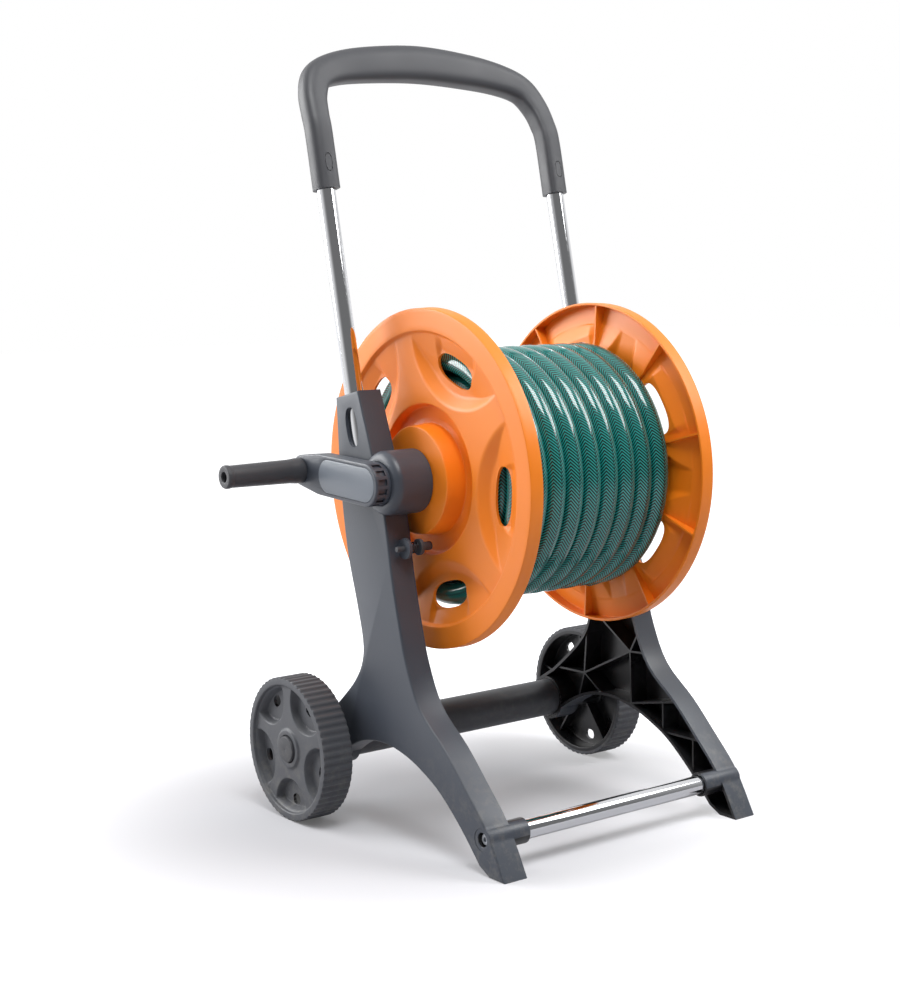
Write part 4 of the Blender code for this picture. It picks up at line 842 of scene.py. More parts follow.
def oval(half_width, half_length, count=48):
    """A rounded oval about the origin, longer along the second direction."""
    points = []
    for i in range(count):
        angle = math.tau * (i + 0.5) / count
        across = math.copysign(abs(math.cos(angle)) ** 0.8, math.cos(angle))
        along = math.copysign(abs(math.sin(angle)) ** 0.8, math.sin(angle))
        points.append((half_width * across, half_length * along))
    return points


def soften(body, level, width, segments):
    """Round the outline edges of a body that was drawn out along X, at one of its faces."""
    work = bmesh.new()
    work.from_mesh(body.data)
    bmesh.ops.dissolve_limit(work, angle_limit=0.001, verts=work.verts, edges=work.edges)
    chosen = [edge for edge in work.edges
              if all(abs(vert.co.x - level) < ON_PLANE for vert in edge.verts)]
    bmesh.ops.bevel(work, geom=chosen, offset=width, segments=segments, profile=0.5,
                    affect="EDGES", clamp_overlap=True)
    work.to_mesh(body.data)
    work.free()
    return body


def drafted(share):
    """A straight draft from 0 to 1 with a small round at its top and bottom."""
    ease = 0.16
    low = np.clip((share + ease) / (2 * ease), 0, 1) ** 2 * ease
    high = np.clip((1 + ease - share) / (2 * ease), 0, 1) ** 2 * ease
    straight = np.clip(share, ease, 1 - ease)
    return np.where(share < ease, low, np.where(share > 1 - ease, 1 - high, straight))


def petal_depth(radius, angle, first, circle, rim, drafts, depth):
    """How far the petals sink a face at each point: circles cut off by a rim, with drafted walls."""
    centre, reach = circle
    sunk = np.zeros_like(radius)
    for k in range(PETALS):
        away = angle - first - math.tau * k / PETALS
        radial, side = radius * np.cos(away), radius * np.sin(away)
        inside_circle = (reach - np.hypot(radial - centre, side)) / drafts[0]
        sunk = np.maximum(sunk, depth * drafted(np.minimum(inside_circle, (rim - radius) / drafts[1])))
    return sunk


# Drum

def flange_petals(radius, angle, grow):
    """The depth of the flange's petals, or of the pans behind them when they grow by the wall.

    Each petal has a flat pad that slopes from the rim down to the window's outer edge.
    """
    sunk = petal_depth(radius, angle, 0.0, (PETAL_CENTRE, PETAL_RADIUS + grow), PETAL_RIM + grow,
                       (PETAL_DRAFT, PETAL_RIM_DRAFT), PETAL_DEPTH)
    for k in range(PETALS):
        away = angle - math.tau * k / PETALS
        side = np.abs(radius * np.sin(away))
        slope = (PETAL_RIM + grow - radius * np.cos(away)) / (PETAL_RIM - WINDOW_RADIUS - WINDOW_HALF_RADIAL)
        ends = (PAD_HALF_LENGTH + grow - side) / PAD_END
        pad = PAD_DEPTH * np.clip(slope, 0, 1) * np.clip(ends, 0, 1)
        sunk = np.maximum(sunk, np.where(np.cos(away) > 0, pad, 0.0) * (slope < PAD_STRETCH))
    return sunk


def flange_rib(angle):
    """One rib of the flange's inner side, kept under the petals' skin and thinner at its free edge."""
    low, high = TROUGH_RADIUS + 0.001, FLANGE_RADIUS - FLANGE_WALL / 2
    radii = np.linspace(low, high, 60)
    sunk = np.max([flange_petals(radii, angle + shift / radii, FLANGE_WALL / 2)
                   for shift in (-FLANGE_RIB / 2, 0.0, FLANGE_RIB / 2)], axis=0)
    base = DRUM_WIDTH / 2 + 0.0005
    face = np.where(radii > FLANGE_RADIUS - RIM_BAND + 0.003, FLANGE_FACE, PLATE)
    tops = np.maximum(face - FLANGE_WALL / 2 - sunk, base + 0.0005)
    rings = []
    for radius, top in zip(radii, tops):
        ring_points = []
        for side, along in ((-0.42, base), (0.42, base), (0.55, top), (-0.55, top)):
            ring_points.append((along, side * FLANGE_RIB, radius))
        rings.append(ring_points)
    rib = lofted(rings)
    rib.data.transform(Matrix.Translation(HUB) @ Matrix.Rotation(angle, 4, "X"))
    return rib


def flange_body():
    """A flange of the drum at its +X end with its journal, one petal at the top."""
    base = DRUM_WIDTH / 2
    edge = FLANGE_RADIUS
    step = edge - RIM_BAND
    wall = FLANGE_WALL
    spigot = BARREL_RADIUS - BARREL_WALL - GAP
    trough = TROUGH_RADIUS
    journal_end = BOSS_INNER + BOSS_WALL - GAP
    face = [(JOURNAL_BORE, journal_end), (JOURNAL_RADIUS, journal_end), (JOURNAL_RADIUS, HUB_FACE),
            (HUB_RADIUS - 0.0004, HUB_FACE), (HUB_RADIUS + 0.0016, base + 0.0030),
            (trough - 0.012, base + 0.0022), (trough - 0.0015, base + 0.0028), (trough + 0.001, PLATE),
            (step - 0.001, PLATE), (step + 0.0015, FLANGE_FACE), (edge - 0.0005, FLANGE_FACE + 0.0001),
            (edge, base)]
    back = [(edge - wall, base), (edge - wall, FLANGE_FACE - wall), (step, PLATE - wall),
            (trough + 0.003, PLATE - wall), (trough - 0.003, base + 0.0008),
            (spigot, base - 0.0005), (spigot, base - SPIGOT_LENGTH), (spigot - wall, base - SPIGOT_LENGTH),
            (HUB_RADIUS - wall, HUB_FACE - wall), (JOURNAL_RADIUS, HUB_FACE - wall),
            (JOURNAL_RADIUS, base + 0.002), (JOURNAL_BORE, base + 0.002)]
    profile = spaced(eased(face + back, 0.0008), 0.0010, (trough, step + 0.002))

    def shape(radius, along, angle):
        """Sink the petals into the outer face, and their pans as far through the inner one."""
        outer = along > PLATE - 0.0012
        inner = (along > base + 0.002) & ~outer & (radius < step + 0.001) & (radius > trough)
        moved = along - np.where(outer, flange_petals(radius, angle, 0.0), 0.0)
        moved = np.where(inner, np.maximum(moved - flange_petals(radius, angle, wall), base + 0.0008), moved)
        return radius, moved

    body = turned(profile, 600, z=DRUM_HEIGHT, shape=shape)
    fuse(body, joined([flange_rib(math.pi / (2 * PETALS) + math.pi * k / PETALS) for k in range(2 * PETALS)]))
    window = [(WINDOW_RADIUS + radial, side) for radial, side in oval(WINDOW_HALF_RADIAL, WINDOW_HALF_LENGTH)]
    windows = joined([extruded([about_hub(window, math.tau * k / PETALS)], base - 0.003, FLANGE_FACE)
                      for k in range(PETALS)])
    return cut(body, windows)


def turned_about_hub(body, angle):
    """The body turned about the drum's axis, from the vertical towards -Y."""
    body.data.transform(Matrix.Translation(HUB) @ Matrix.Rotation(angle, 4, "X") @ Matrix.Translation(-HUB))
    return body


def make_flanges(orange):
    """Show both flanges, each with its petals turned to its own angle."""
    right = flange_body()
    left = turned_about_hub(mirrored(right), LEFT_PETAL_ANGLE)
    show("left_drum_flange", left, orange, "drum", "left_flange")
    show("right_drum_flange", turned_about_hub(right, RIGHT_PETAL_ANGLE), orange, "drum", "right_flange")


# Hose

def slow_ends(share):
    """A share from 0 to 1 that starts and ends slowly."""
    return share * share * (3 - 2 * share)


def hose_route(points_per_turn):
    """The whole hose: two inner layers, the climbs between them and the outer layer of stepped turns.

    Each row of its lay is the place along the drum, the distance from the axis and the turns done.
    """
    outer = WOUND_RADIUS - HOSE_DIAMETER / 2
    flat_share = 1 - STEP_SPREAD / math.tau
    half = HOSE_PITCH * HOSE_TURNS / 2
    lay = []
    first, second = INNER_LAYERS
    for i in range(round(HOSE_TURNS * points_per_turn)):
        done = i / points_per_turn
        lay.append((-half + 2 * half * done / HOSE_TURNS, first, done))
    climb = round(FIRST_CLIMB_TURNS * points_per_turn)
    for i in range(climb):
        share = i / climb
        lay.append((half, first + (second - first) * slow_ends(share), HOSE_TURNS + share * FIRST_CLIMB_TURNS))
    start = HOSE_TURNS + FIRST_CLIMB_TURNS
    rest = HOSE_TURNS + SECOND_LAYER_REST_TURNS
    for i in range(round(rest * points_per_turn)):
        done = i / points_per_turn
        share = min(done / (HOSE_TURNS - SECOND_LAYER_EARLY_TURNS), 1.0)
        lay.append((half - 2 * half * share, second, start + done))
    start += rest
    climb = round(CLIMB_SPREAD / math.tau * points_per_turn)
    for i in range(climb):
        share = (i / climb) ** CLIMB_BOW
        lay.append((-half, second + (outer - second) * share, start + i / points_per_turn))
    start += climb / points_per_turn
    turns = HOSE_TURNS + flat_share
    count = round(turns * points_per_turn)
    for i in range(count + 1):
        done = i / points_per_turn
        whole = math.floor(done)
        share = max(0.0, (done - whole - flat_share) / (1 - flat_share))
        if i == count:
            whole, share = HOSE_TURNS, 0.0
        lay.append((HOSE_PITCH * (whole + slow_ends(share) - HOSE_TURNS / 2), outer, start + done))
    begin = STEP_END - math.tau * start
    route = []
    for x, radius, done in lay:
        angle = begin + math.tau * done
        route.append(HUB + Vector((x, -radius * math.sin(angle), radius * math.cos(angle))))
    return route


def make_hose(braid):
    """One hose in a single mesh, with the lay of its yarn kept as a UV map."""
    route = hose_route(POINTS_PER_TURN)
    route.append(route[-1] + (route[-1] - route[-2]).normalized() * HOSE_DIAMETER)
    sides = HOSE_SIDES
    radius = HOSE_DIAMETER / 2
    sections = []
    run = 0.0
    for i, place in enumerate(route):
        before, after = route[max(i - 1, 0)], route[min(i + 1, len(route) - 1)]
        along = (after - before).normalized()
        out = Vector((0, place.y, place.z - DRUM_HEIGHT))
        out = (out - along * out.dot(along)).normalized()
        across = along.cross(out)
        if i:
            run += (place - route[i - 1]).length
        sections.append((place, out, across, run, radius))
    tip, *axes, _ = sections[-1]
    bore = radius - HOSE_WALL
    inward = -(route[-1] - route[-2]).normalized()
    sections.append((tip, *axes, bore))
    sections.append((tip + inward * HOSE_BORE_DEPTH, *axes, bore))
    points, faces, lays = [], [], []
    for place, out, across, _, size in sections:
        for k in range(sides):
            angle = math.tau * k / sides
            points.append(place - out * math.cos(angle) * size + across * math.sin(angle) * size)
    for i in range(len(sections) - 1):
        for k in range(sides):
            after = (k + 1) % sides
            faces.append((i * sides + k, i * sides + after, (i + 1) * sides + after, (i + 1) * sides + k))
            low, high = sections[i][3], sections[i + 1][3]
            lays += [(k / sides, low), ((k + 1) / sides, low), ((k + 1) / sides, high), (k / sides, high)]
    faces.append(tuple(reversed(range(sides))))
    faces.append(tuple(range((len(sections) - 1) * sides, len(sections) * sides)))
    lays += [(0.0, 0.0)] * (2 * sides)
    mesh = bpy.data.meshes.new("tool")
    mesh.from_pydata(points, [], faces)
    layer = mesh.uv_layers.new(name="hose_lay")
    layer.data.foreach_set("uv", [value for pair in lays for value in pair])
    work = bmesh.new()
    work.from_mesh(mesh)
    show("braided_hose", from_bmesh(work), braid, "drum", "hose_outer_layer", "hose_inner_layers", sharp=50)


# Legs

LEG_ARCH = ((-0.1345, 0.0070), (-0.1085, 0.0340), (-0.0785, 0.0590), (-0.0540, 0.0725),
            (-0.0280, 0.0825), (0.0000, 0.0880), (0.0260, 0.0880), (0.0500, 0.0830),
            (0.0740, 0.0720))
LEG_REAR = ((0.1020, 0.309), (0.0790, 0.364), (0.0570, 0.424), (0.0445, 0.483), (0.0425, 0.548),
            (0.0520, 0.661), (0.0635, 0.780), (0.0715, 0.929), (0.0750, 1.071))
LEG_FRONT = ((0.0195, 1.089), (0.0005, 0.917), (-0.0095, 0.744), (-0.0205, 0.601), (-0.0305, 0.500),
             (-0.0500, 0.391), (-0.0870, 0.302), (-0.1155, 0.219), (-0.1430, 0.134), (-0.1590, 0.060))
LEG_RIBS = (((0.048, 0.152), (0.0525, 0.107)), ((0.106, 0.106), (0.0525, 0.107)),
            ((0.0525, 0.107), (-0.019, 0.141)), ((0.0525, 0.107), (0.062, 0.078)),
            ((0.0525, 0.107), (0.014, 0.082)), ((-0.019, 0.141), (-0.034, 0.166)),
            ((-0.019, 0.141), (-0.052, 0.143)), ((-0.019, 0.141), (0.048, 0.184)),
            ((-0.019, 0.141), (-0.0205, 0.079)), ((-0.019, 0.087), (-0.088, 0.1005)),
            ((-0.067, 0.098), (-0.067, 0.060)), ((-0.066, 0.0665), (-0.117, 0.067)),
            ((-0.1096, 0.068), (-0.1096, 0.030)), ((-0.022, 0.205), (0.062, 0.250)),
            ((0.060, 0.247), (-0.002, 0.302)))


def leg_outline():
    """The leg seen from the side, anticlockwise from the toe, as Y and Z."""
    lobe = arc((AXLE_Y, AXLE_Z), CROSS_TUBE_RADIUS + AXLE_LOBE_WALL, -160, 62, 33)
    rear = smooth_line([(y, share * DRUM_HEIGHT) for y, share in LEG_REAR], 4)
    front = smooth_line([(y, share * DRUM_HEIGHT) for y, share in LEG_FRONT], 4)
    top_back = (SOCKET_TOP_Y + TUBE_RADIUS + 0.0035, SOCKET_TOP_Z - 0.0035)
    top_front = (SOCKET_TOP_Y - 0.0250, SOCKET_TOP_Z + 0.0045)
    return ([(FOOT_FRONT + FOOT_LENGTH, 0.0)] + smooth_line(LEG_ARCH, 4) + lobe + rear
            + [top_back, top_front] + front + [(FOOT_FRONT, 0.0)])


def on_tube(along, back=0.0):
    """A point beside the right upright tube's axis: up along it and back from it."""
    return SOCKET_TOP + Vector((LEG_MIDDLE, 0, 0)) + LEAN_UP * along + LEAN_BACK * back


def leg_rib(start, end):
    """A web of the leg's open side, between two points of Y and Z."""
    (y0, z0), (y1, z1) = start, end
    length = math.hypot(y1 - y0, z1 - z0)
    turn = Matrix.Rotation(math.atan2(z1 - z0, y1 - y0), 4, "X")
    place = Matrix.Translation((0, y0, z0)) @ turn
    return box((LEG_INNER + 0.002, 0, -RIB / 2), (LEG_OUTER, length, RIB / 2), place)


def socket_frame():
    """Outlines of X and height along the tube, drawn out from its front to its back."""
    axes = Matrix((LEAN_BACK, (-1, 0, 0), LEAN_UP)).transposed().to_4x4()
    return Matrix.Translation(on_tube(0)) @ axes


def leg_boss():
    """The drum's bearing: a ring stepped inside for the crank hub and the flange journal."""
    step = BOSS_INNER + BOSS_WALL
    wide = CRANK_HUB_RADIUS + RUN_GAP
    narrow = JOURNAL_RADIUS + RUN_GAP
    shoulder = [(BOSS_RADIUS - BOSS_EDGE + y, BOSS_OUTER - BOSS_EDGE + x)
                for y, x in arc((0, 0), BOSS_EDGE, 90, 0, 12)]
    profile = [(wide, BOSS_OUTER - 0.0005), (wide + 0.0005, BOSS_OUTER), *shoulder, (BOSS_RADIUS, BOSS_INNER),
               (narrow, BOSS_INNER), (narrow, step), (wide, step)]
    return turned(profile, 96, z=DRUM_HEIGHT)


def axle_lobe():
    """The ring that holds the cross tube, closed at its outer end around the axle rod."""
    seat = LEG_INNER + CROSS_TUBE_SEAT
    outer = CROSS_TUBE_RADIUS + AXLE_LOBE_WALL - 0.0012
    wide = CROSS_TUBE_RADIUS + GAP
    narrow = AXLE_ROD_RADIUS + GAP
    profile = [(narrow, LEG_OUTER - 0.0004), (outer, LEG_OUTER - 0.0004), (outer, LEG_INNER + 0.0004),
               (wide, LEG_INNER + 0.0004), (wide, seat), (narrow, seat)]
    return turned(profile, 72, AXLE_Y, AXLE_Z)


def bar_sleeve():
    """The ring that holds the front bar, with the screw's seat and hole at its outer end."""
    seat = LEG_INNER + BAR_SEAT
    outer = BAR_RADIUS + GAP + BAR_SLEEVE_WALL
    wide = BAR_RADIUS + GAP
    narrow = SCREW_RADIUS + GAP
    head = SCREW_HEAD_RADIUS + 0.001
    profile = [(head, LEG_OUTER - 0.0004), (outer, LEG_OUTER - 0.0004),
               (outer, LEG_INNER - BAR_SLEEVE_LENGTH), (wide, LEG_INNER - BAR_SLEEVE_LENGTH),
               (wide, seat), (narrow, seat), (narrow, SCREW_SEAT), (head, SCREW_SEAT)]
    return turned(eased(profile, 0.0008), 48, BAR_Y, BAR_Z)


def right_leg_body():
    """A leg: a shell open towards the drum, with its webs, boss, tube socket, axle lobe and bar sleeve."""
    outline = leg_outline()
    body = soften(extruded([outline], LEG_INNER, LEG_OUTER), LEG_OUTER, LEG_EDGE, 4)
    pocket = extruded([inset(outline, LEG_WALL)], LEG_INNER - 0.010, LEG_OUTER - LEG_WALL)
    socket_block = box((LEG_INNER - 0.02, -0.1, DRUM_HEIGHT - 0.004),
                       (LEG_OUTER, 0.2, SOCKET_TOP_Z + 0.05))
    cut(pocket, socket_block)
    for start, end in LEG_RIBS:
        cut(pocket, leg_rib(start, end))
    low, high = LEG_INNER - 0.01, LEG_OUTER + 0.01
    cut(body, pocket)
    cut(body, cylinder(BOSS_RADIUS - 0.003, low, high, z=DRUM_HEIGHT, sides=90))
    cut(body, cylinder(CROSS_TUBE_RADIUS + 0.0018, low, high, AXLE_Y, AXLE_Z, 70))
    cut(body, cylinder(BAR_RADIUS + GAP + BAR_SLEEVE_WALL / 2, low, high, BAR_Y, BAR_Z, 50))
    fuse(body, leg_boss(), axle_lobe(), bar_sleeve())
    window = [(y * WINDOW_SLOT_WIDTH / 2, z) for y, z in oval(1.0, WINDOW_SLOT_LENGTH / 2, 40)]
    slot_turn = Matrix.Rotation(-TUBE_LEAN, 4, "X")
    slot_place = Matrix.Translation(SOCKET_TOP + LEAN_UP * WINDOW_SLOT_DROP
                                    + Vector((0, WINDOW_SLOT_SHIFT, 0))) @ slot_turn
    return cut(body, rod(on_tube(-TUBE_SEAT - GAP), on_tube(0.05), TUBE_RADIUS + GAP, 48),
               extruded([window], LEG_MIDDLE, LEG_OUTER + 0.01, slot_place))


def brake_ear(body):
    """Add the ear that the brake plunger slides in to the leg's front."""
    z = DRUM_HEIGHT - BRAKE_DROP
    far = BRAKE_EAR_X + BRAKE_EAR_THICKNESS
    web = box((BRAKE_EAR_X, BRAKE_Y, z - 0.7 * BRAKE_EAR_RADIUS),
              (far, BRAKE_Y + BRAKE_EAR_RADIUS + 0.001, z + 0.7 * BRAKE_EAR_RADIUS))
    ear = fuse(cylinder(BRAKE_EAR_RADIUS, BRAKE_EAR_X, far, BRAKE_Y, z, 48), web)
    fuse(body, ear)
    return cut(body, cylinder(BRAKE_PIN_RADIUS + RUN_GAP, BRAKE_EAR_X - 0.001, far + 0.001, BRAKE_Y, z, 24))


def is_inside(place, outline):
    """Whether a point lies within an outline, seen from the side."""
    found = False
    for (y0, z0), (y1, z1) in zip(outline, outline[1:] + outline[:1]):
        if (z0 > place.z) != (z1 > place.z) and place.y < (y1 - y0) * (place.z - z0) / (z1 - z0) + y0:
            found = not found
    return found


def make_legs(grained, hollow):
    """Show both legs, with painted shade: a near-black finish on the faces inside their shells."""
    right = right_leg_body()
    left = mirrored(brake_ear(tool(right.data.copy())))
    pieces = [show("left_leg_shell", left, grained, "frame", "left_leg"),
              show("right_leg_shell", right, grained, "frame", "right_leg")]
    # Painted shade: faces inside the open shell, below the drum's axis, take the near-black finish in place of
    # the shade in the hollow.
    hollow_outline = inset(leg_outline(), LEG_WALL * 0.5)
    for piece in pieces:
        piece.data.materials.append(hollow)
        for face in piece.data.polygons:
            place = face.center - ORIGIN
            inward = face.normal.x * math.copysign(1, place.x) < 0.35
            if abs(place.x) < LEG_OUTER - LEG_WALL + 0.0002 and inward and place.z < DRUM_HEIGHT:
                face.material_index = int(is_inside(place, hollow_outline))


# Frame tubes, bar, axle

def make_frame_tubes(finishes):
    """Show the chromed tubes, the cross tube over the axle and the wheels' caps."""
    top = ARM_BOTTOM + TUBE_IN_HANDLE
    tube = rod(on_tube(-TUBE_SEAT), on_tube(top), TUBE_RADIUS, 64)
    cut(tube, rod(on_tube(-TUBE_SEAT - 0.01), on_tube(top + 0.01), TUBE_RADIUS - TUBE_WALL, 64))
    cut(tube, button_hole(-TUBE_RADIUS - 0.002, -TUBE_RADIUS + 0.004))
    show("left_chrome_upright", mirrored(tube), finishes["chrome"], "frame", "left_upright_tube")
    show("right_chrome_upright", tube, finishes["chrome"], "frame", "right_upright_tube")
    reach = LEG_INNER + BAR_SEAT - GAP
    bar = ring(BAR_RADIUS, BAR_RADIUS - BAR_WALL, -reach, reach, BAR_Y, BAR_Z, 64, 0.0003)
    show("chrome_front_bar", bar, finishes["chrome"], "frame", "front_bar")
    reach = LEG_INNER + CROSS_TUBE_SEAT - GAP
    cross = ring(CROSS_TUBE_RADIUS, CROSS_TUBE_RADIUS - CROSS_TUBE_WALL, -reach, reach, AXLE_Y, AXLE_Z, 80)
    show("moulded_cross_tube", cross, finishes["wheel_plastic"], "frame", "cross_tube")
    cap_bore = AXLE_ROD_RADIUS + GAP
    profile = [(0.0001, CAP_TIP), (CAP_RADIUS - 0.0005, CAP_TIP - 0.0003), (CAP_RADIUS, CAP_TIP - 0.0015),
               (CAP_RADIUS, CAP_SEAT + GAP), (cap_bore, CAP_SEAT + GAP), (cap_bore, AXLE_END + GAP),
               (0.0001, AXLE_END + GAP)]
    cap = turned(eased(profile, 0.0012), 56, AXLE_Y, AXLE_Z)
    show("left_wheel_cap", mirrored(cap), finishes["dark_plastic"], "wheel_left", "axle_cap_left")
    show("right_wheel_cap", cap, finishes["dark_plastic"], "wheel_right", "axle_cap_right")


# Wheels

def right_wheel_body():
    """A wheel: a face with petals and slots, ribs behind it and a toothed tread."""
    rim = WHEEL_RADIUS - WHEEL_RIM_WALL
    face = WHEEL_OUTER - WHEEL_FACE_INSET
    back = face - WHEEL_PETAL_DEPTH - WHEEL_FACE_WALL
    hub_inner = LEG_OUTER + GAP + WASHER_THICKNESS + RUN_GAP
    cap_bore = CAP_RADIUS + 0.0007
    rod_bore = AXLE_ROD_RADIUS + RUN_GAP
    profile = [(rod_bore, CAP_SEAT), (cap_bore, CAP_SEAT), (cap_bore, face + 0.002),
               (WHEEL_HUB_RADIUS - 0.001, face + 0.002), (WHEEL_HUB_RADIUS + 0.0005, face),
               (rim - 0.0005, face), (rim + 0.0005, WHEEL_OUTER), (WHEEL_RADIUS, WHEEL_OUTER),
               (WHEEL_RADIUS, WHEEL_INNER), (rim, WHEEL_INNER), (rim, back), (WHEEL_HUB_RADIUS, back),
               (WHEEL_HUB_RADIUS - 0.008, hub_inner), (rod_bore, hub_inner)]
    rows = spaced(eased(profile, 0.0012), 0.0011, (WHEEL_HUB_RADIUS, rim))

    def shape(radius, along, angle):
        """Sink the petals into the face and groove the tread."""
        sunk = petal_depth(radius, angle, WHEEL_PETAL_ANGLE, (WHEEL_PETAL_CENTRE, WHEEL_PETAL_RADIUS),
                           rim - 0.0015, (WHEEL_PETAL_DRAFT, WHEEL_PETAL_DRAFT), WHEEL_PETAL_DEPTH)
        moved = along - np.where(along > face - 0.0008, sunk, 0.0)
        wave = 0.5 - 0.5 * np.cos(angle * TREAD_TEETH)
        groove = TREAD_DEPTH * np.clip(1.8 * wave - 0.4, 0, 1)
        return np.where(radius > WHEEL_RADIUS - 0.0006, radius - groove, radius), moved

    body = turned(rows, TREAD_TEETH * 10, AXLE_Y, AXLE_Z, shape)
    angles = [WHEEL_PETAL_ANGLE + math.tau * k / PETALS for k in range(PETALS)]
    ribs = []
    slots = []
    for angle in angles:
        turn = Matrix.Translation((0, AXLE_Y, AXLE_Z)) @ Matrix.Rotation(angle, 4, "X")
        ribs.append(box((WHEEL_INNER + 0.006, -RIB / 2, -rim - 0.001), (back + 0.001, RIB / 2, -0.012), turn))
        slot = [(WHEEL_SLOT_RADIUS + radial, side)
                for radial, side in oval(WHEEL_SLOT_HALF_RADIAL, WHEEL_SLOT_HALF_LENGTH, 24)]
        outline = [(y + AXLE_Y, z) for y, z in about_hub(slot, angle, AXLE_Z)]
        slots.append(extruded([outline], back - 0.002, face + 0.002))
    fuse(body, joined(ribs))
    return cut(body, joined(slots))


def make_wheels(grained, hollow):
    """Show both wheels, with painted shade: a near-black finish on the hollow behind their faces."""
    wheel = right_wheel_body()
    pieces = [show("left_ribbed_wheel", mirrored(wheel), grained, "wheel_left", "left_wheel"),
              show("right_ribbed_wheel", wheel, grained, "wheel_right", "right_wheel")]
    # Painted shade: faces in the hollow behind the wheel's face, inside the rim, take the near-black finish.
    deep = WHEEL_OUTER - WHEEL_FACE_INSET - WHEEL_PETAL_DEPTH - WHEEL_FACE_WALL / 2
    for piece in pieces:
        piece.data.materials.append(hollow)
        for face in piece.data.polygons:
            place = face.center - ORIGIN
            reach = math.hypot(place.y - AXLE_Y, place.z - AXLE_Z)
            inside = abs(place.x) < deep and abs(place.x) > WHEEL_INNER and reach < WHEEL_RADIUS - 0.003
            face.material_index = int(inside)


# Crank

def on_crank(outline):
    """An outline along and across the crank arm, turned to the arm's rest angle."""
    lean = (math.cos(CRANK_TILT), math.sin(CRANK_TILT))
    return [(along * lean[0] - across * lean[1], DRUM_HEIGHT + along * lean[1] + across * lean[0])
            for along, across in outline]


def make_crank(finishes):
    """Show the crank arm with its hub and pockets, its face cover and the turning grip."""
    shoulder = CRANK_LENGTH - 0.030
    outline = arc((0, 0), CRANK_RADIUS, 90, 270, 41)
    outline += [(shoulder, -CRANK_RADIUS + 0.0005)]
    outline += arc((CRANK_LENGTH, 0), CRANK_END_RADIUS, -75, 75, 33)
    outline += [(shoulder, CRANK_RADIUS - 0.0005)]
    back = CRANK_FACE - CRANK_THICKNESS
    arm = soften(extruded([on_crank(eased(outline, 0.004))], back, CRANK_FACE), CRANK_FACE, 0.0015, 3)
    hub_low = BOSS_INNER + BOSS_WALL + RUN_GAP
    fuse(arm, cylinder(CRANK_HUB_RADIUS, hub_low, back + 0.001, 0, DRUM_HEIGHT, 72),
         cylinder(CRANK_SPIGOT_RADIUS, DRUM_WIDTH / 2 + 0.004, hub_low + 0.001, 0, DRUM_HEIGHT, 40))
    floor = CRANK_FACE - COVER_DEPTH
    cover_run = COVER_LENGTH - COVER_RADIUS
    recess = stadium(cover_run, COVER_RADIUS + GAP, COVER_RADIUS + GAP, 33)
    cut(arm, extruded([on_crank(recess)], floor, CRANK_FACE + 0.01))
    cut(arm, cylinder(SCREW_HEAD_RADIUS + 0.001, CRANK_SCREW_SEAT, CRANK_FACE, 0, DRUM_HEIGHT, 40))
    cut(arm, cylinder(SCREW_RADIUS + GAP, 0.05, CRANK_FACE, 0, DRUM_HEIGHT, 24))
    end_y, end_z = on_crank([(CRANK_LENGTH, 0)])[0]
    cut(arm, cylinder(GRIP_PIN_RADIUS + GAP, back + 0.003, CRANK_FACE + 0.01, end_y, end_z, 24))
    for k in range(CRANK_POCKETS):
        angle = CRANK_TILT + math.pi * (0.14 + 0.72 * k / (CRANK_POCKETS - 1))
        turn = Matrix.Translation(HUB) @ Matrix.Rotation(angle, 4, "X")
        cut(arm, box((back + 0.0025, -CRANK_POCKET_HALF_WIDTH, CRANK_RADIUS - CRANK_POCKET_DEPTH),
                     (CRANK_FACE - 0.003, CRANK_POCKET_HALF_WIDTH, CRANK_RADIUS + 0.01), turn))
    show("crank_link", flipped(arm), finishes["grey_plastic"], "drum", "crank_arm")
    top = CRANK_FACE + COVER_PROUD
    cover = soften(extruded([on_crank(stadium(cover_run, COVER_RADIUS, COVER_RADIUS, 33))], floor + GAP, top),
                   top, 0.0008, 3)
    show("crank_face_cover", flipped(cover), finishes["crank_plastic"], "drum", "crank_cover")
    base = CRANK_FACE + GAP
    head = GRIP_TIP - 0.012
    bore = GRIP_PIN_RADIUS + RUN_GAP
    profile = [(GRIP_BORE, GRIP_TIP), (GRIP_END_RADIUS - 0.0008, GRIP_TIP),
               (GRIP_END_RADIUS, GRIP_TIP - 0.0015), (GRIP_END_RADIUS, GRIP_TIP - 0.0045),
               (GRIP_END_RADIUS - 0.0006, GRIP_TIP - 0.0065),
               (GRIP_RADIUS - 0.0008, base + 0.014), (GRIP_RADIUS, base + 0.006), (GRIP_RADIUS, base),
               (bore, base), (bore, head - RUN_GAP), (GRIP_BORE, head - RUN_GAP)]
    grip = turned(eased(profile, 0.001), 64, end_y, end_z)
    show("turning_grip", flipped(grip), finishes["dark_plastic"], "grip", "crank_grip")


# Brake

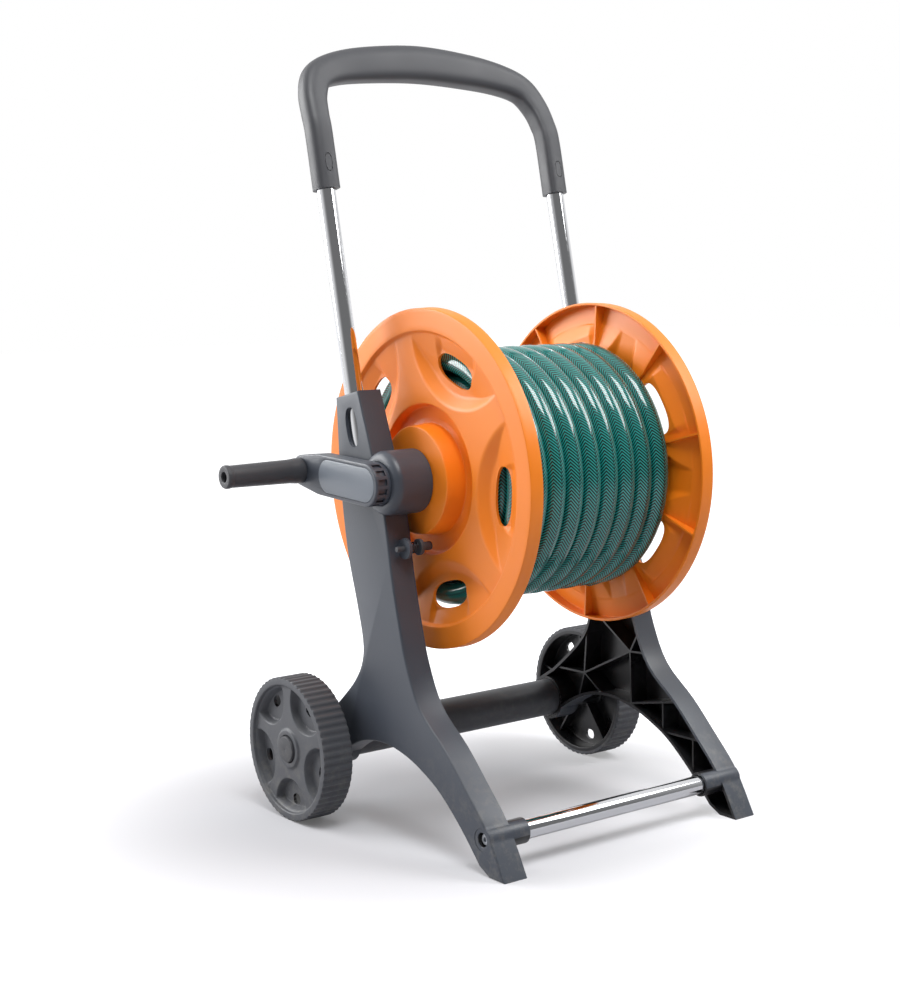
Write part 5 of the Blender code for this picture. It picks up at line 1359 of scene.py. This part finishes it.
def make_brake(finishes):
    """Show the brake's plunger, turned from one profile, and the open coil spring behind its knob."""
    z = DRUM_HEIGHT - BRAKE_DROP
    knob_high = BRAKE_EAR_X - BRAKE_SPRING_LENGTH
    knob_low = knob_high - BRAKE_KNOB_LENGTH
    profile = [(0.0001, BRAKE_TAIL_X), (BRAKE_PIN_RADIUS, BRAKE_TAIL_X), (BRAKE_PIN_RADIUS, knob_high),
               (BRAKE_KNOB_RADIUS, knob_high), (BRAKE_KNOB_RADIUS, knob_low), (BRAKE_REACH_RADIUS, knob_low),
               (BRAKE_REACH_RADIUS, knob_low - BRAKE_REACH), (0.0001, knob_low - BRAKE_REACH)]
    plunger = turned(eased(profile, 0.0007), 48, BRAKE_Y, z)
    show("brake_pin", flipped(plunger), finishes["dark_plastic"], "brake", "brake_plunger")
    low = knob_high + GAP + BRAKE_SPRING_WIRE
    high = BRAKE_EAR_X - GAP - BRAKE_SPRING_WIRE
    curve = bpy.data.curves.new("tool", "CURVE")
    curve.dimensions = "3D"
    curve.bevel_depth = BRAKE_SPRING_WIRE
    curve.bevel_resolution = 3
    curve.use_fill_caps = True
    count = round(BRAKE_SPRING_CURLS * POINTS_PER_CURL)
    spline = curve.splines.new("POLY")
    spline.points.add(count)
    for i, point in enumerate(spline.points):
        angle = math.tau * i / POINTS_PER_CURL
        point.co = (-(low + (high - low) * i / count), BRAKE_Y + BRAKE_SPRING_RADIUS * math.cos(angle),
                    z + BRAKE_SPRING_RADIUS * math.sin(angle), 1)
    guide = bpy.data.objects.new("tool", curve)
    CUTTERS.objects.link(guide)
    spring = tool(evaluated_mesh(guide))
    bpy.data.objects.remove(guide, do_unlink=True)
    show("brake_coil_spring", spring, finishes["spring_steel"], "frame", "brake_spring", sharp=50)


# Handle

HANDLE_HALF = ((0.0000, 0.1315, 0.0000, 0.0235, 0.0235), (0.0000, 0.0785, 0.0000, 0.0235, 0.0235),
               (0.0008, 0.0600, 0.0030, 0.0240, 0.0238), (0.0046, 0.0400, 0.0085, 0.0258, 0.0245),
               (0.0155, 0.0215, 0.0142, 0.0285, 0.0255), (0.0390, 0.0108, 0.0180, 0.0315, 0.0265),
               (0.0800, 0.0038, 0.0198, 0.0350, 0.0275), (0.1420, 0.0000, 0.0200, 0.0370, 0.0280))


def handle_stations():
    """Stations of the bow from its right arm to its left: X, height, back, width and depth."""
    half = []
    for inward, drop, *section in HANDLE_HALF:
        reach = LEG_MIDDLE * (1 - inward / HANDLE_HALF[-1][0])
        height = HANDLE_HEIGHT - drop * (HANDLE_HEIGHT - ARM_BOTTOM) / HANDLE_HALF[0][1]
        half.append((reach, height, *section))
    other = [(-reach, *rest) for reach, *rest in half[-2::-1]]
    return smooth_line(half + other, 8)


def button_hole(front, back, margin=GAP):
    """A cutter for the snap button's oval, between two distances behind the tube's axis."""
    outline = [(across, BUTTON_HEIGHT + ARM_BOTTOM + along)
               for across, along in oval(BUTTON_WIDTH / 2 + margin, BUTTON_LENGTH / 2 + margin, 32)]
    return extruded([outline], front, back, socket_frame())


def make_handle(smooth):
    """The bow: a loft that is squarer at its front outer edge, bored for the tubes and the snap buttons."""
    stations = handle_stations()
    rings = []
    for i, (x, height, back, width, depth) in enumerate(stations):
        before = stations[max(i - 1, 0)]
        after = stations[min(i + 1, len(stations) - 1)]
        run = Vector((after[0] - before[0], after[1] - before[1])).normalized()
        across = Vector((run.y, 0, 0)) - LEAN_UP * run.x
        centre = SOCKET_TOP + Vector((x, 0, 0)) + LEAN_UP * height + LEAN_BACK * back
        section = []
        for k in range(HANDLE_SIDES):
            angle = math.tau * (k + 0.5) / HANDLE_SIDES
            power = HANDLE_SQUARE if math.cos(angle) < 0 and math.sin(angle) < 0 else HANDLE_ROUND
            wide = math.copysign(abs(math.cos(angle)) ** power, math.cos(angle)) * width / 2
            deep = math.copysign(abs(math.sin(angle)) ** power, math.sin(angle)) * depth / 2
            section.append(centre + across * wide + LEAN_BACK * deep)
        rings.append(section)
    body = lofted(rings)
    bore = rod(on_tube(ARM_BOTTOM - 0.02), on_tube(ARM_BOTTOM + TUBE_IN_HANDLE + GAP), TUBE_RADIUS + GAP, 48)
    window = button_hole(-ARM_DEPTH, -TUBE_RADIUS + 0.002)
    cut(body, mirrored(bore), mirrored(window))
    cut(body, bore, window)
    show("bow_handle", body, smooth, "frame", "handle")


make_camera()
make_light()
FINISHES = make_finishes()
dress_nodes(FINISHES)
make_hose(FINISHES["hose_pvc"])
make_flanges(FINISHES["orange_plastic"])
make_legs(FINISHES["grey_plastic"], FINISHES["leg_hollow"])
make_wheels(FINISHES["wheel_plastic"], FINISHES["leg_hollow"])
make_frame_tubes(FINISHES)
make_crank(FINISHES)
make_brake(FINISHES)
make_handle(FINISHES["dark_plastic"])
bpy.data.collections.remove(CUTTERS)
